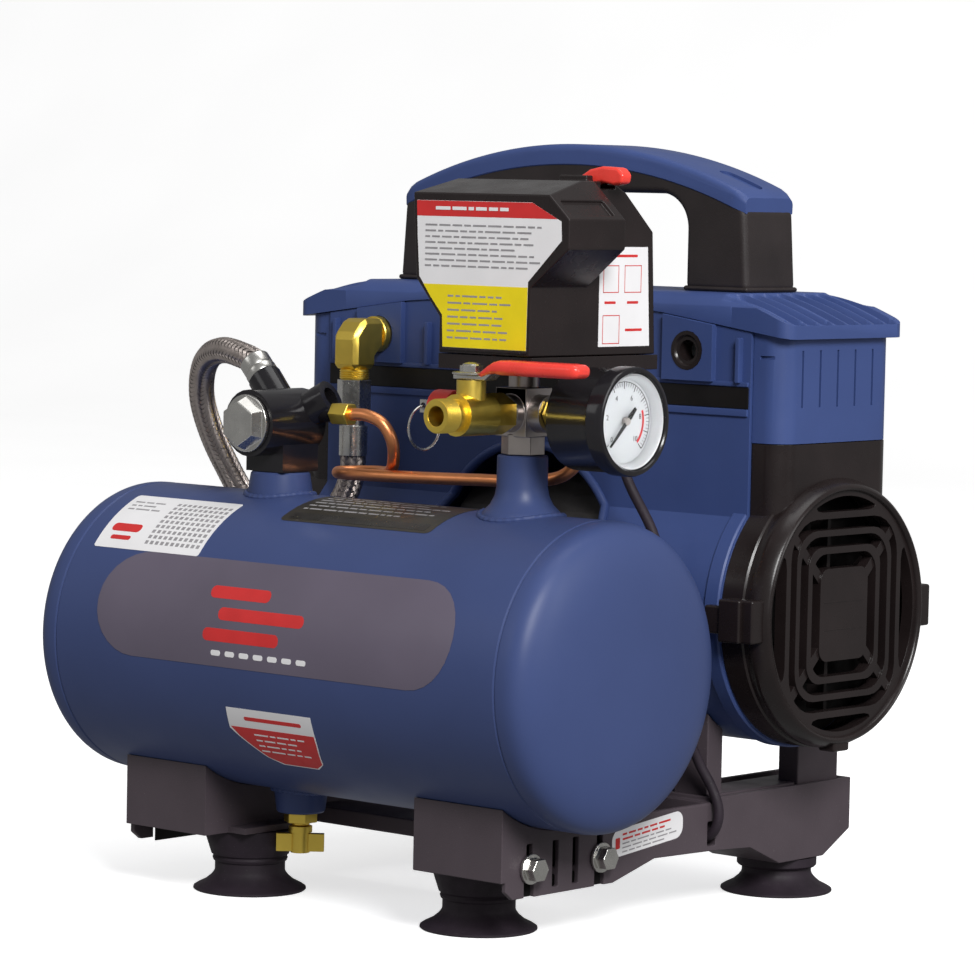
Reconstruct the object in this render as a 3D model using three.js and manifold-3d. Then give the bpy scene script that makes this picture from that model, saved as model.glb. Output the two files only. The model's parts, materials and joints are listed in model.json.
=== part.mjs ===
// Portable twin-cylinder air compressor: a horizontal tank in front of a motor-driven pump,
// both carried by two side rails on suction feet. Millimetres, X along the tank, Y to the rear, Z up.
import * as THREE from 'three';
import Module from 'manifold-3d';
import { mergeVertices } from 'three/addons/utils/BufferGeometryUtils.js';

const wasm = await Module();
wasm.setup();

// ---------- driving dimensions ----------
const GAP = 0.3;                    // clearance between neighbouring pieces
const TANK_R = 70;                  // outer radius of the tank
const TANK_Z = 121;                 // height of the tank's axis
const TANK_SEAM = 139.5;            // half distance between the end-cap seams
const CAP_DEPTH = 20;               // how far an end cap bulges
const CAP_POWER = 3.2;              // superellipse power of the cap's profile
const TANK_WALL = 2.2;
const NECK_X = 92;                  // outlet neck
const NECK_TOP = 217.4;
const CHECK_X = -59;                // check-valve boss
const CHECK_TOP = 201;
const DRAIN_X = -42;                // drain boss
const DRAIN_LOW = 40.5;
const PUMP_Y = 157;                 // middle of the pump, front to back
const SHAFT_Z = 141;                // motor axis height
const DRUM_R = 64;                  // round part of the motor housing
const HOUSING_X = 134;              // half length of the motor housing
const HOUSING_HALF_Y = 45;          // half depth of its upright part
const HOUSING_TOP = 284;
const HOUSING_WALL = 3;
const BULKHEAD_X = 62;              // inner walls that carry the shaft bearings
const WINDOW_R = 55;                // round window in front of the motor
const WINDOW_Z = 158;
const SHAFT_R = 5;
const END_X = 152;                  // outer face of an end housing
const END_HALF_Y = 43.5;
const END_LOW = 221.4;              // joint between end housing and fan cover
const FAN_FACE_X = 160;             // outer face of a fan cover
const LID_HALF_X = 156;
const LID_HALF_Y = 46;
const LID_TOP = 290;
const LID_LOW = [[-LID_HALF_X, 270], [-75, 281], [0, 283.5], [75, 281], [LID_HALF_X, 270]];
const PORT_X = 98;                  // front ports of the two cylinder heads
const PORT_Z = 263;
const HANDLE_TOP = 359;
const HANDLE_LEG_OUT = 110.5;
const HANDLE_LEG_IN = 73;
const HANDLE_HALF_Y = 19.5;
const CLIP_REACH = 8.5;             // how far a fan-cover clip stands out of the cover's rim
const SWITCH_REAR = 60;             // rear face of the pressure switch
const GLAND_X = 80;                 // where the motor lead leaves the switch
const GLAND_Z = 259.5;
const RAIL_OUT = 119;               // outer face of a side rail
const RAIL_FRONT = -40;
const RAIL_REAR = 219;
const MANIFOLD_Z = 236.5;           // axis of the outlet cross
const GAUGE_R = 24.3;
const FOOT_FRONT = [73, -2];
const FOOT_REAR = [100, 186];
const FOOT_R = 27;
const ORIGIN_Y = (-TANK_R + PUMP_Y + DRUM_R + CLIP_REACH) / 2;   // middle of the footprint

// ---------- materials ----------
const finish = {
  blue: { color: 0x36457a, roughness: 0.42, metalness: 0.1 },
  black: { color: 0x17161a, roughness: 0.35, metalness: 0 },
  rail: { color: 0x4c434b, roughness: 0.6, metalness: 0 },
  rubber: { color: 0x141216, roughness: 0.8, metalness: 0 },
  brass: { color: 0xc9a23e, roughness: 0.3, metalness: 1 },
  nickel: { color: 0xa9a39d, roughness: 0.32, metalness: 1 },
  steel: { color: 0xb9bcc0, roughness: 0.3, metalness: 1 },
  copper: { color: 0xb5683c, roughness: 0.28, metalness: 1 },
  iron: { color: 0x55565a, roughness: 0.6, metalness: 0.8 },
  alloy: { color: 0xa5a8ab, roughness: 0.45, metalness: 0.9 },
  red: { color: 0xd2322c, roughness: 0.35, metalness: 0 },
  white: { color: 0xf0efec, roughness: 0.5, metalness: 0 },
  lens: { color: 0xdfe8ee, roughness: 0.05, metalness: 0 },
  braid: { color: 0x9b958f, roughness: 0.4, metalness: 0.9 },
};

// ---------- geometry helpers ----------
function solid(geometry) {
  const bare = geometry.clone();
  bare.deleteAttribute('normal');
  bare.deleteAttribute('uv');
  const merged = mergeVertices(bare, 1e-4);
  return new wasm.Manifold(new wasm.Mesh({
    numProp: 3,
    vertProperties: new Float32Array(merged.attributes.position.array),
    triVerts: new Uint32Array(merged.index.array),
  }));
}

function geometryOf(manifold) {
  const mesh = manifold.getMesh();
  const geometry = new THREE.BufferGeometry();
  geometry.setAttribute('position', new THREE.BufferAttribute(mesh.vertProperties, 3));
  geometry.setIndex(new THREE.BufferAttribute(mesh.triVerts, 1));
  return geometry;
}

function box(x0, x1, y0, y1, z0, z1) {
  return new THREE.BoxGeometry(x1 - x0, y1 - y0, z1 - z0)
    .translate((x0 + x1) / 2, (y0 + y1) / 2, (z0 + z1) / 2);
}

// turns geometry made along +Z so that it runs along the direction given
function alongDirection(geometry, direction) {
  const turn = new THREE.Quaternion()
    .setFromUnitVectors(new THREE.Vector3(0, 0, 1), new THREE.Vector3(...direction).normalize());
  return geometry.applyQuaternion(turn);
}

// round bar from one point to another
function bar(from, to, radius, sides = 24, endRadius = radius) {
  const start = new THREE.Vector3(...from);
  const way = new THREE.Vector3(...to).sub(start);
  const length = way.length();
  const geometry = new THREE.CylinderGeometry(endRadius, radius, length, sides)
    .rotateX(Math.PI / 2).translate(0, 0, length / 2);
  return alongDirection(geometry, way.toArray()).translate(...from);
}

// body of revolution: profile points are [radius, distance along the axis]
function turned(profile, base, direction, sides = 32) {
  const points = profile.map(([radius, along]) => new THREE.Vector2(radius, along));
  const geometry = new THREE.LatheGeometry(points, sides).rotateX(Math.PI / 2);
  return alongDirection(geometry, direction).translate(...base);
}

// outline in X and Z, pushed from y0 to y1
function pushedY(points, y0, y1) {
  const outline = new THREE.Shape(points.map(([x, z]) => new THREE.Vector2(x, z)));
  return new THREE.ExtrudeGeometry(outline, { depth: y1 - y0, bevelEnabled: false })
    .rotateX(Math.PI / 2).translate(0, y1, 0);
}

// outline in Y and Z, pushed from x0 to x1
function pushedX(points, x0, x1) {
  const outline = new THREE.Shape(points.map(([y, z]) => new THREE.Vector2(y, z)));
  const turn = new THREE.Matrix4().set(0, 0, 1, x0, 1, 0, 0, 0, 0, 1, 0, 0, 0, 0, 0, 1);
  return new THREE.ExtrudeGeometry(outline, { depth: x1 - x0, bevelEnabled: false }).applyMatrix4(turn);
}

// points on an arc, angles in degrees
function arc(cx, cy, radius, from, to, steps) {
  return Array.from({ length: steps + 1 }, (_, i) => {
    const angle = THREE.MathUtils.degToRad(from + (to - from) * i / steps);
    return [cx + radius * Math.cos(angle), cy + radius * Math.sin(angle)];
  });
}

function roundedRectangle(cx, cy, halfX, halfY, radius, steps = 3) {
  return [
    ...arc(cx + halfX - radius, cy + halfY - radius, radius, 0, 90, steps),
    ...arc(cx - halfX + radius, cy + halfY - radius, radius, 90, 180, steps),
    ...arc(cx - halfX + radius, cy - halfY + radius, radius, 180, 270, steps),
    ...arc(cx + halfX - radius, cy - halfY + radius, radius, 270, 360, steps),
  ];
}

// round tube along a smooth curve through the points
function tube(points, radius, sides, steps) {
  const path = new THREE.CatmullRomCurve3(points.map((p) => new THREE.Vector3(...p)));
  const section = new THREE.Shape(
    arc(0, 0, radius, 0, 360 - 360 / sides, sides - 1).map(([x, y]) => new THREE.Vector2(x, y)));
  return new THREE.ExtrudeGeometry(section, { steps, extrudePath: path, bevelEnabled: false });
}

function joined(...geometries) {
  return geometries.map(solid).reduce((sum, next) => sum.add(next));
}

function cut(body, ...geometries) {
  return geometries.map(solid).reduce((rest, next) => rest.subtract(next), body);
}

const compressor = new THREE.Group();
compressor.position.y = -ORIGIN_Y;

function piece(name, shape, look) {
  const geometry = shape.isBufferGeometry ? shape : geometryOf(shape);
  const mesh = new THREE.Mesh(geometry, new THREE.MeshStandardMaterial(finish[look]));
  mesh.name = name;
  compressor.add(mesh);
  return mesh;
}

const SIDES = [['left', -1], ['right', 1]];

// a span along X reflected to the side given
function span(inner, outer, side) {
  return side > 0 ? [inner, outer] : [-outer, -inner];
}

// ---------- tank ----------
function tankProfile(radius, halfLength, depth, steps) {
  const cap = Array.from({ length: steps + 1 }, (_, i) => {
    const angle = (Math.PI / 2) * (i / steps);
    const power = 2 / CAP_POWER;
    return [radius * Math.sin(angle) ** power, halfLength + depth * Math.cos(angle) ** power];
  });
  const front = cap.map(([r, x]) => [r, x]).reverse();
  return [...cap.map(([r, x]) => [r, -x]), ...front];
}

function tankShell() {
  const start = [0, 0, TANK_Z];
  const outer = turned(tankProfile(TANK_R, TANK_SEAM, CAP_DEPTH, 6), start, [1, 0, 0], 44);
  const inner = turned(
    tankProfile(TANK_R - TANK_WALL, TANK_SEAM, CAP_DEPTH - TANK_WALL, 3), start, [1, 0, 0], 20);
  const top = TANK_Z + TANK_R;
  const neck = turned(
    [[0, top - 3], [19, top - 3], [16, top + 2], [12.5, top + 6], [11.5, top + 10],
      [11.5, NECK_TOP], [0, NECK_TOP]], [NECK_X, 0, 0], [0, 0, 1], 28);
  const checkBoss = bar([CHECK_X, 0, top - 4], [CHECK_X, 0, CHECK_TOP], 15.5, 28, 14);
  const drainBoss = bar([DRAIN_X, 0, TANK_Z - TANK_R + 4], [DRAIN_X, 0, DRAIN_LOW], 13, 24, 11.5);
  const passages = [
    bar([NECK_X, 0, top - 8], [NECK_X, 0, NECK_TOP + 1], 1.8, 8),
    bar([CHECK_X, 0, top - 8], [CHECK_X, 0, CHECK_TOP + 1], 1.8, 8),
    bar([DRAIN_X, 0, TANK_Z - TANK_R + 8], [DRAIN_X, 0, DRAIN_LOW - 1], 1.8, 8),
  ];
  return cut(joined(outer, neck, checkBoss, drainBoss), inner, ...passages);
}
piece('tank_shell', tankShell(), 'blue');

// ---------- drain valve ----------
const DRAIN_HEX_LOW = 35.5;
const WING_TURN = THREE.MathUtils.degToRad(41);   // how far the closed wing stands from X
piece('drain_valve_body', joined(
  bar([DRAIN_X, 0, DRAIN_LOW - GAP], [DRAIN_X, 0, DRAIN_HEX_LOW], 8.2, 6),
  bar([DRAIN_X, 0, DRAIN_HEX_LOW + 1], [DRAIN_X, 0, DRAIN_HEX_LOW - 1.5], 4.2, 16),
), 'brass');

function drainWing() {
  const low = 21;
  const top = DRAIN_HEX_LOW - 1.5 - GAP;
  return joined(
    bar([DRAIN_X, 0, top], [DRAIN_X, 0, low], 4.6, 16),
    bar([DRAIN_X, 0, top], [DRAIN_X, 0, top - 3], 5.6, 16),
    box(-11.3, 11.3, -2.2, 2.2, low + 0.6, low + 9).rotateZ(WING_TURN).translate(DRAIN_X, 0, 0),
  );
}
piece('drain_wing', drainWing(), 'brass');

// ---------- side rails ----------
const RAIL_WALL = 2.5;
const RAIL_FLOOR = 30;              // top of the front foot
const RAIL_TOP = 52;
const RAIL_IN = 66;                 // inner wall of the front bracket
const CUP_FRONT = 111;
const CUP_IN = 78;
const CUP_LOW = 17.5;

// side view of a rail, open for the tank to lie in
function railOutline(tankGap) {
  const radius = TANK_R + tankGap;
  const frontAngle = -90 - THREE.MathUtils.radToDeg(Math.asin(-RAIL_FRONT / radius));
  const rise = TANK_Z - RAIL_TOP;
  const backAngle = -THREE.MathUtils.radToDeg(Math.asin(rise / radius));
  const saddle = arc(0, TANK_Z, radius, frontAngle, backAngle, 8);
  return [
    [RAIL_FRONT, 28], [-32, 22], [38, 22], [68, 30], [CUP_FRONT, 29], [140, 27.5], [163, CUP_LOW],
    [198, CUP_LOW], [RAIL_REAR, 29], [RAIL_REAR, 54], [CUP_FRONT, 54], [CUP_FRONT, RAIL_TOP],
    ...saddle.reverse(),
  ];
}

function rail(side) {
  const outline = railOutline(GAP);
  const wall = pushedX(outline, ...span(RAIL_OUT - RAIL_WALL, RAIL_OUT, side));
  const block = pushedX(outline, ...span(RAIL_IN, RAIL_OUT - 0.5, side));
  const bracket = [...span(RAIL_IN, RAIL_OUT, side)];
  const hollowFront = box(...span(RAIL_IN + RAIL_WALL, RAIL_OUT - RAIL_WALL, side),
    RAIL_FRONT + RAIL_WALL, CUP_FRONT - 4, RAIL_FLOOR + 3, 90);
  const underFront = box(...span(RAIL_IN - 1, RAIL_OUT - RAIL_WALL, side),
    RAIL_FRONT + RAIL_WALL, CUP_FRONT + 20, 0, RAIL_FLOOR);
  const tab = box(...span(55, RAIL_IN + 5, side), -24, 20, RAIL_FLOOR, RAIL_FLOOR + 3);
  const innerTrim = box(...span(CUP_IN - 20, CUP_IN, side), CUP_FRONT - 1, RAIL_REAR + 1, 0, 90);
  const cupHollow = box(...span(CUP_IN + RAIL_WALL, RAIL_OUT - RAIL_WALL, side),
    CUP_FRONT + RAIL_WALL, RAIL_REAR - RAIL_WALL, 32, 90);
  const slots = [-21, -3, 11, 28].map((y) =>
    box(...span(RAIL_OUT - 6, RAIL_OUT + 1, side), y - 2, y + 2, 25, 46));
  const boltHoles = [-21, 28].map((y) =>
    box(...span(RAIL_OUT - 6, RAIL_OUT + 1, side), y - 3.3, y + 3.3, 21, 40));
  const cornerCut = box(...bracket, RAIL_FRONT - 1, RAIL_FRONT + 3, 10, 30);
  const leadSlot = box(...span(100, RAIL_OUT + 1, side), 107, 113, 31.5, 43);
  const shell = solid(wall).add(solid(block));
  return cut(shell.subtract(solid(hollowFront)).subtract(solid(underFront)).add(solid(tab)),
    innerTrim, cupHollow, cornerCut, leadSlot, ...slots, ...boltHoles);
}

function foot(x, y, height) {
  const collar = height - 9;
  return turned([
    [0, 5], [24, 0], [26.3, 0], [FOOT_R, 1.6], [19.5, 6], [16.8, 9.5], [16.8, collar],
    [19.3, collar + 2.5], [19.3, height], [0, height],
  ], [x, y, 0], [0, 0, 1], 18);
}

function railBolt(side, y) {
  const face = side * RAIL_OUT;
  const z = 35;
  return joined(
    bar([face - side * 6, y, z], [face + side * 2, y, z], 3, 12),
    bar([face + side * GAP, y, z], [face + side * 2, y, z], 7, 20),
    bar([face + side * 2, y, z], [face + side * 7, y, z], 5.6, 6),
  );
}

const MOUNT_TOP = 50;

function isolator(side) {
  return joined(
    bar([side * 99, 150, 32 + GAP], [side * 99, 150, MOUNT_TOP], 14, 24),
    bar([side * 99, 150, 42], [side * 99, 150, 47.6], 17, 24),
  );
}

for (const [name, side] of SIDES) {
  piece(`side_rail_${name}`, rail(side), 'rail');
  piece(`foot_front_${name}`, foot(side * FOOT_FRONT[0], FOOT_FRONT[1], RAIL_FLOOR - GAP), 'rubber');
  piece(`foot_rear_${name}`, foot(side * FOOT_REAR[0], FOOT_REAR[1], CUP_LOW - GAP), 'rubber');
  piece(`rail_bolt_front_${name}`, railBolt(side, -21), 'steel');
  piece(`rail_bolt_rear_${name}`, railBolt(side, 28), 'steel');
  piece(`rubber_mount_${name}`, isolator(side), 'rubber');
}

piece('cross_brace', cut(
  solid(box(-RAIL_IN + GAP, RAIL_IN - GAP, 32, 62, 30, 38)),
  box(-RAIL_IN, RAIL_IN, 35, 59, 28, 35.5),
), 'rail');

// ---------- motor housing ----------
// end view of the housing: a drum below, an upright box above
function housingOutline(inset) {
  const radius = DRUM_R - inset;
  const halfY = HOUSING_HALF_Y - inset;
  const shoulder = THREE.MathUtils.radToDeg(Math.acos(halfY / radius));
  const around = arc(PUMP_Y, SHAFT_Z, radius, 180 - shoulder, 360 + shoulder, 24);
  return [[PUMP_Y + halfY, HOUSING_TOP], [PUMP_Y - halfY, HOUSING_TOP], ...around];
}

// everything above the lid's lower edge, for trimming what stands under it
function aboveLidEdge() {
  const edge = LID_LOW.map(([x, z]) => [x, z - GAP]);
  return pushedY([...edge, [LID_HALF_X, 310], [-LID_HALF_X, 310]], 90, 230);
}

function motorHousing() {
  const shell = pushedX(housingOutline(0), -HOUSING_X, HOUSING_X);
  const room = pushedX(housingOutline(HOUSING_WALL), -HOUSING_X - 1, HOUSING_X + 1);
  const bosses = SIDES.map(([, side]) =>
    box(...span(PORT_X - 15, PORT_X + 15, side), PUMP_Y - HOUSING_HALF_Y - 3,
      PUMP_Y - HOUSING_HALF_Y + 1, PORT_Z - 14, HOUSING_TOP));
  const ports = SIDES.map(([, side]) =>
    bar([side * PORT_X, 100, PORT_Z], [side * PORT_X, 125, PORT_Z], 9.2, 16));
  const bulkheads = SIDES.map(([, side]) =>
    pushedX(housingOutline(1), ...span(BULKHEAD_X, BULKHEAD_X + 3, side)));
  const shaftHole = bar([-HOUSING_X, PUMP_Y, SHAFT_Z], [HOUSING_X, PUMP_Y, SHAFT_Z], SHAFT_R + 0.1, 16);
  const motorWindow = bar([0, PUMP_Y - DRUM_R - 5, WINDOW_Z], [0, PUMP_Y - 30, WINDOW_Z], WINDOW_R, 32);
  const body = cut(joined(shell, ...bosses), room, motorWindow);
  return cut(bulkheads.map(solid).reduce((sum, next) => sum.add(next), body),
    shaftHole, aboveLidEdge(), ...ports);
}
piece('motor_housing', motorHousing(), 'blue');

// a plate on the rubber mount, with an upright before and behind it that carry the drum
const LEG_LOW = MOUNT_TOP + GAP;
const LEG_PLATE_TOP = LEG_LOW + 4.2;

function motorLeg(side) {
  return cut(joined(
    box(...span(92, 114, side), 114.5, 212, LEG_LOW, LEG_PLATE_TOP),
    box(...span(92, 112, side), 114.5, 126, LEG_LOW, 96),
    box(...span(104, 116, side), 180, 212, LEG_LOW, 112),
  ), bar([-HOUSING_X, PUMP_Y, SHAFT_Z], [HOUSING_X, PUMP_Y, SHAFT_Z], DRUM_R + GAP, 64));
}

const END_INNER_X = HOUSING_X + GAP;
const END_CORNER = 11;              // radius of the end housing's upright corners

function endHousing(side) {
  const front = PUMP_Y - END_HALF_Y;
  const rear = PUMP_Y + END_HALF_Y;
  const plan = [
    [front, END_INNER_X], ...arc(front + END_CORNER, END_X - END_CORNER, END_CORNER, 180, 90, 4),
    ...arc(rear - END_CORNER, END_X - END_CORNER, END_CORNER, 90, 0, 4), [rear, END_INNER_X],
  ];
  const outline = new THREE.Shape(plan.map(([y, x]) => new THREE.Vector2(side * x, y)));
  const body = new THREE.ExtrudeGeometry(outline, { depth: HOUSING_TOP - END_LOW, bevelEnabled: false })
    .translate(0, 0, END_LOW);
  const room = box(...span(END_INNER_X - 1, END_X - 3, side), front + 4, rear - 4, END_LOW + 3, HOUSING_TOP);
  return cut(solid(body), room, aboveLidEdge());
}

// ---------- fan covers ----------
const RIM_X = 153;                  // where the rim starts to turn in
const FACE_R = 57;
const GRILLE_BAR = 3;
// half sizes (inner Y and Z, outer Y and Z) and inner corner radius of the grille's slots
const GRILLE_SLOTS = [
  [18.5, 21.8, 24.8, 28.8, 5], [28.1, 32, 34, 37, 8], [37, 40, 41.5, 45.2, 12], [44.5, 48.2, 51, 56, 16],
];

function fanCover(side) {
  const outward = [side, 0, 0];
  const base = [0, PUMP_Y, SHAFT_Z];
  const dish = turned([
    [0, END_INNER_X], [DRUM_R, END_INNER_X], [DRUM_R, RIM_X], [FACE_R + 3.5, FAN_FACE_X],
    [FACE_R, FAN_FACE_X], [FACE_R - 1, FAN_FACE_X - 3], [0, FAN_FACE_X - 3],
  ], base, outward, 32);
  const room = turned([
    [0, END_INNER_X - 1], [DRUM_R - 3, END_INNER_X - 1], [DRUM_R - 3, RIM_X - 1],
    [FACE_R - 2, FAN_FACE_X - 6], [0, FAN_FACE_X - 6],
  ], base, outward, 24);
  const upper = box(...span(END_INNER_X, END_X, side), PUMP_Y - END_HALF_Y, PUMP_Y + END_HALF_Y,
    190, END_LOW - GAP);
  const upperRoom = box(...span(END_INNER_X - 1, END_X - 3, side), PUMP_Y - END_HALF_Y + 3,
    PUMP_Y + END_HALF_Y - 3, 180, END_LOW - GAP - 3);
  const clips = [-1, 1].flatMap((dir) => [
    box(...span(139, 152, side), ...span(DRUM_R - 2, DRUM_R + CLIP_REACH, dir).map((y) => PUMP_Y + y),
      SHAFT_Z - 10, SHAFT_Z + 10),
    box(...span(149, 157.5, side), ...span(DRUM_R - 3.5, DRUM_R + 6, dir).map((y) => PUMP_Y + y),
      SHAFT_Z - 10, SHAFT_Z + 10),
  ]);
  let body = joined(dish, upper, ...clips).subtract(solid(upperRoom)).subtract(solid(room));
  const face = span(FAN_FACE_X - 10, FAN_FACE_X + 1, side);
  const diagonal = Math.SQRT1_2 * 90;
  const spokes = [1, -1].map((dir) => {
    const ends = dir > 0 ? [[-1, -1], [1, 1]] : [[-1, 1], [1, -1]];
    const [[y0, z0], [y1, z1]] = ends.map(([a, b]) => [a * diagonal, b * diagonal * 1.15]);
    const length = Math.hypot(y1 - y0, z1 - z0);
    return box(...face, -length / 2, length / 2, -GRILLE_BAR / 2, GRILLE_BAR / 2)
      .rotateX(Math.atan2(z1 - z0, y1 - y0)).translate(0, PUMP_Y, SHAFT_Z);
  });
  const inside = solid(turned([[0, 140], [FACE_R - 2.2, 140], [FACE_R - 2.2, 170], [0, 170]],
    base, outward, 24));
  for (const [innerY, innerZ, outerY, outerZ, radius] of GRILLE_SLOTS) {
    const outer = pushedX(roundedRectangle(PUMP_Y, SHAFT_Z, outerY, outerZ, radius + 3, 2), ...face);
    const inner = pushedX(roundedRectangle(PUMP_Y, SHAFT_Z, innerY, innerZ, radius, 2), ...face);
    const slot = cut(solid(outer), inner, ...spokes).intersect(inside);
    body = body.subtract(slot);
  }
  return body;
}

for (const [name, side] of SIDES) {
  piece(`motor_leg_${name}`, motorLeg(side), 'rail');
  piece(`end_housing_${name}`, endHousing(side), 'blue');
  piece(`fan_cover_${name}`, fanCover(side), 'black');
}

// ---------- lid and handle ----------
const LID_RIM = 6.5;                // depth of the lid's rim
const LID_SKIN = 3;

function lid() {
  const ends = LID_HALF_X;
  const plateau = 114;
  const rimTop = LID_LOW[0][1] + LID_RIM;
  const arch = [
    ...LID_LOW, [ends, rimTop], [plateau, LID_TOP], [-plateau, LID_TOP], [-ends, rimTop],
  ];
  const under = [
    [-ends + 4, 260], [ends - 4, 260], [ends - 4, 272], [plateau - 2, LID_TOP - LID_SKIN],
    [-plateau + 2, LID_TOP - LID_SKIN], [-ends + 4, 272],
  ];
  const front = PUMP_Y - LID_HALF_Y;
  const rear = PUMP_Y + LID_HALF_Y;
  const slope = pushedX([
    [front, 260], [rear, 260], [rear, 284], [rear - 11, 294], [front + 11, 294], [front, 284],
  ], -ends - 1, ends + 1);
  const hollow = solid(pushedY(under, front + 3.5, rear - 3.5)).intersect(solid(pushedX([
    [front + 3, 255], [rear - 3, 255], [rear - 3, 282], [rear - 12, 291], [front + 12, 291],
    [front + 3, 282],
  ], -ends, ends)));
  return solid(pushedY(arch, front, rear)).intersect(solid(slope)).subtract(hollow);
}
piece('lid', lid(), 'blue');

const HANDLE_ARC_R = 270;
const HANDLE_SPLIT_R = 278;
const handleSplit = arc(0, HANDLE_TOP - 10.5 - HANDLE_SPLIT_R, HANDLE_SPLIT_R, 67.2, 112.8, 16);

function handleGrip() {
  const foot = LID_TOP + GAP;
  const lower = [
    [-HANDLE_LEG_OUT, foot], [-HANDLE_LEG_IN, foot], ...arc(-HANDLE_LEG_IN + 17, 319, 17, 180, 97, 4),
    [0, 337.5], ...arc(HANDLE_LEG_IN - 17, 319, 17, 83, 0, 4), [HANDLE_LEG_IN, foot],
    [HANDLE_LEG_OUT, foot],
  ];
  const outline = [...lower, ...handleSplit];
  return pushedY(outline, PUMP_Y - HANDLE_HALF_Y, PUMP_Y + HANDLE_HALF_Y);
}

function handleShell() {
  const lift = GAP;
  const under = handleSplit.map(([x, z]) => [x, z + lift]).reverse();
  const over = arc(0, HANDLE_TOP - HANDLE_ARC_R, HANDLE_ARC_R, 66.4, 113.6, 18);
  return pushedY([...under, ...over], PUMP_Y - HANDLE_HALF_Y - 0.6, PUMP_Y + HANDLE_HALF_Y + 0.6);
}
piece('handle_grip', handleGrip(), 'black');
piece('handle_shell', handleShell(), 'blue');

// ---------- motor, cranks, pistons and cylinders ----------
const CRANK_X = 98;                 // plane of each piston
const THROW = 4;
const CYLINDER_LOW = 196;
const CYLINDER_TOP = 236;
const HEAD_TOP = 268;

const STATOR_HALF_X = 46;

piece('motor_stator', cut(
  solid(bar([-STATOR_HALF_X, PUMP_Y, SHAFT_Z], [STATOR_HALF_X, PUMP_Y, SHAFT_Z], 58, 32)),
  bar([-STATOR_HALF_X - 1, PUMP_Y, SHAFT_Z], [STATOR_HALF_X + 1, PUMP_Y, SHAFT_Z], 33, 24),
), 'iron');

piece('motor_shaft', joined(
  bar([-146, PUMP_Y, SHAFT_Z], [146, PUMP_Y, SHAFT_Z], SHAFT_R, 16),
  bar([-STATOR_HALF_X, PUMP_Y, SHAFT_Z], [STATOR_HALF_X, PUMP_Y, SHAFT_Z], 32, 24),
), 'steel');

function crank(side) {
  const x = side * CRANK_X;
  const bore = bar([x - 20, PUMP_Y, SHAFT_Z], [x + 20, PUMP_Y, SHAFT_Z], SHAFT_R + 0.05, 16);
  return cut(joined(
    bar([x - 5, PUMP_Y + THROW, SHAFT_Z], [x + 5, PUMP_Y + THROW, SHAFT_Z], 11, 20),
    bar([x - side * 12, PUMP_Y, SHAFT_Z], [x - side * 4.5, PUMP_Y, SHAFT_Z], 16, 20),
  ), bore);
}

// the rod's eye is a slot as tall as the stroke, so that the crank turns inside it
function pistonRod(side) {
  const x = side * CRANK_X;
  const reach = 11 + THROW + 0.8;
  const eye = bar([x - 4, PUMP_Y, SHAFT_Z], [x + 4, PUMP_Y, SHAFT_Z], 26, 24);
  const slotEnds = [-THROW, THROW].map((dz) =>
    bar([x - 5, PUMP_Y, SHAFT_Z + dz], [x + 5, PUMP_Y, SHAFT_Z + dz], reach, 24));
  const slot = box(x - 5, x + 5, PUMP_Y - reach, PUMP_Y + reach, SHAFT_Z - THROW, SHAFT_Z + THROW);
  const web = box(x - 3, x + 3, PUMP_Y - 7, PUMP_Y + 7, SHAFT_Z + 22, 222);
  const crown = bar([x, PUMP_Y, 220], [x, PUMP_Y, 228], 21.6, 28);
  return cut(joined(eye, web, crown), slot, ...slotEnds);
}

// a cylinder and its head, cast in one, with the port at the front of the head
function cylinder(side) {
  const x = side * CRANK_X;
  const front = PUMP_Y - HOUSING_HALF_Y - 2;
  return cut(joined(
    bar([x, PUMP_Y, CYLINDER_LOW], [x, PUMP_Y, CYLINDER_TOP + 1], 25, 28),
    box(x - 28, x + 28, PUMP_Y - 30, PUMP_Y + 30, CYLINDER_TOP, HEAD_TOP),
    bar([side * PORT_X, front, PORT_Z], [side * PORT_X, PUMP_Y - 25, PORT_Z], 8.8, 16),
  ),
  bar([x, PUMP_Y, CYLINDER_LOW - 1], [x, PUMP_Y, CYLINDER_TOP], 22, 28),
  bar([side * PORT_X, front - 1, PORT_Z], [side * PORT_X, PUMP_Y - 34, PORT_Z], 5.2, 12));
}

function fan(side) {
  const blades = Array.from({ length: 6 }, (_, i) =>
    box(...span(138, 148, side), -1.2, 1.2, 8, 46)
      .rotateX(i * Math.PI / 3).translate(0, PUMP_Y, SHAFT_Z));
  const hub = bar([side * 137, PUMP_Y, SHAFT_Z], [side * 149, PUMP_Y, SHAFT_Z], 12, 20);
  return cut(joined(hub, ...blades),
    bar([side * 130, PUMP_Y, SHAFT_Z], [side * 147, PUMP_Y, SHAFT_Z], SHAFT_R + 0.05, 16));
}

for (const [name, side] of SIDES) {
  piece(`crank_${name}`, crank(side), 'steel');
  piece(`piston_rod_${name}`, pistonRod(side), 'alloy');
  piece(`cylinder_${name}`, cylinder(side), 'alloy');
  piece(`cooling_fan_${name}`, fan(side), 'black');
}

// ---------- discharge line: elbow, hose and check valve ----------
const ELBOW_Y = 92;
const ELBOW_FOOT = 241;
const HOSE_TOP = 203;

piece('discharge_elbow', joined(
  bar([-PORT_X, ELBOW_Y, 246], [-PORT_X, ELBOW_Y, 271], 8, 8),
  bar([-PORT_X, ELBOW_Y, ELBOW_FOOT], [-PORT_X, ELBOW_Y, 247], 6.6, 16),
  bar([-PORT_X, ELBOW_Y, PORT_Z], [-PORT_X, PUMP_Y - HOUSING_HALF_Y - 3.5, PORT_Z], 6.6, 12),
), 'brass');

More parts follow.
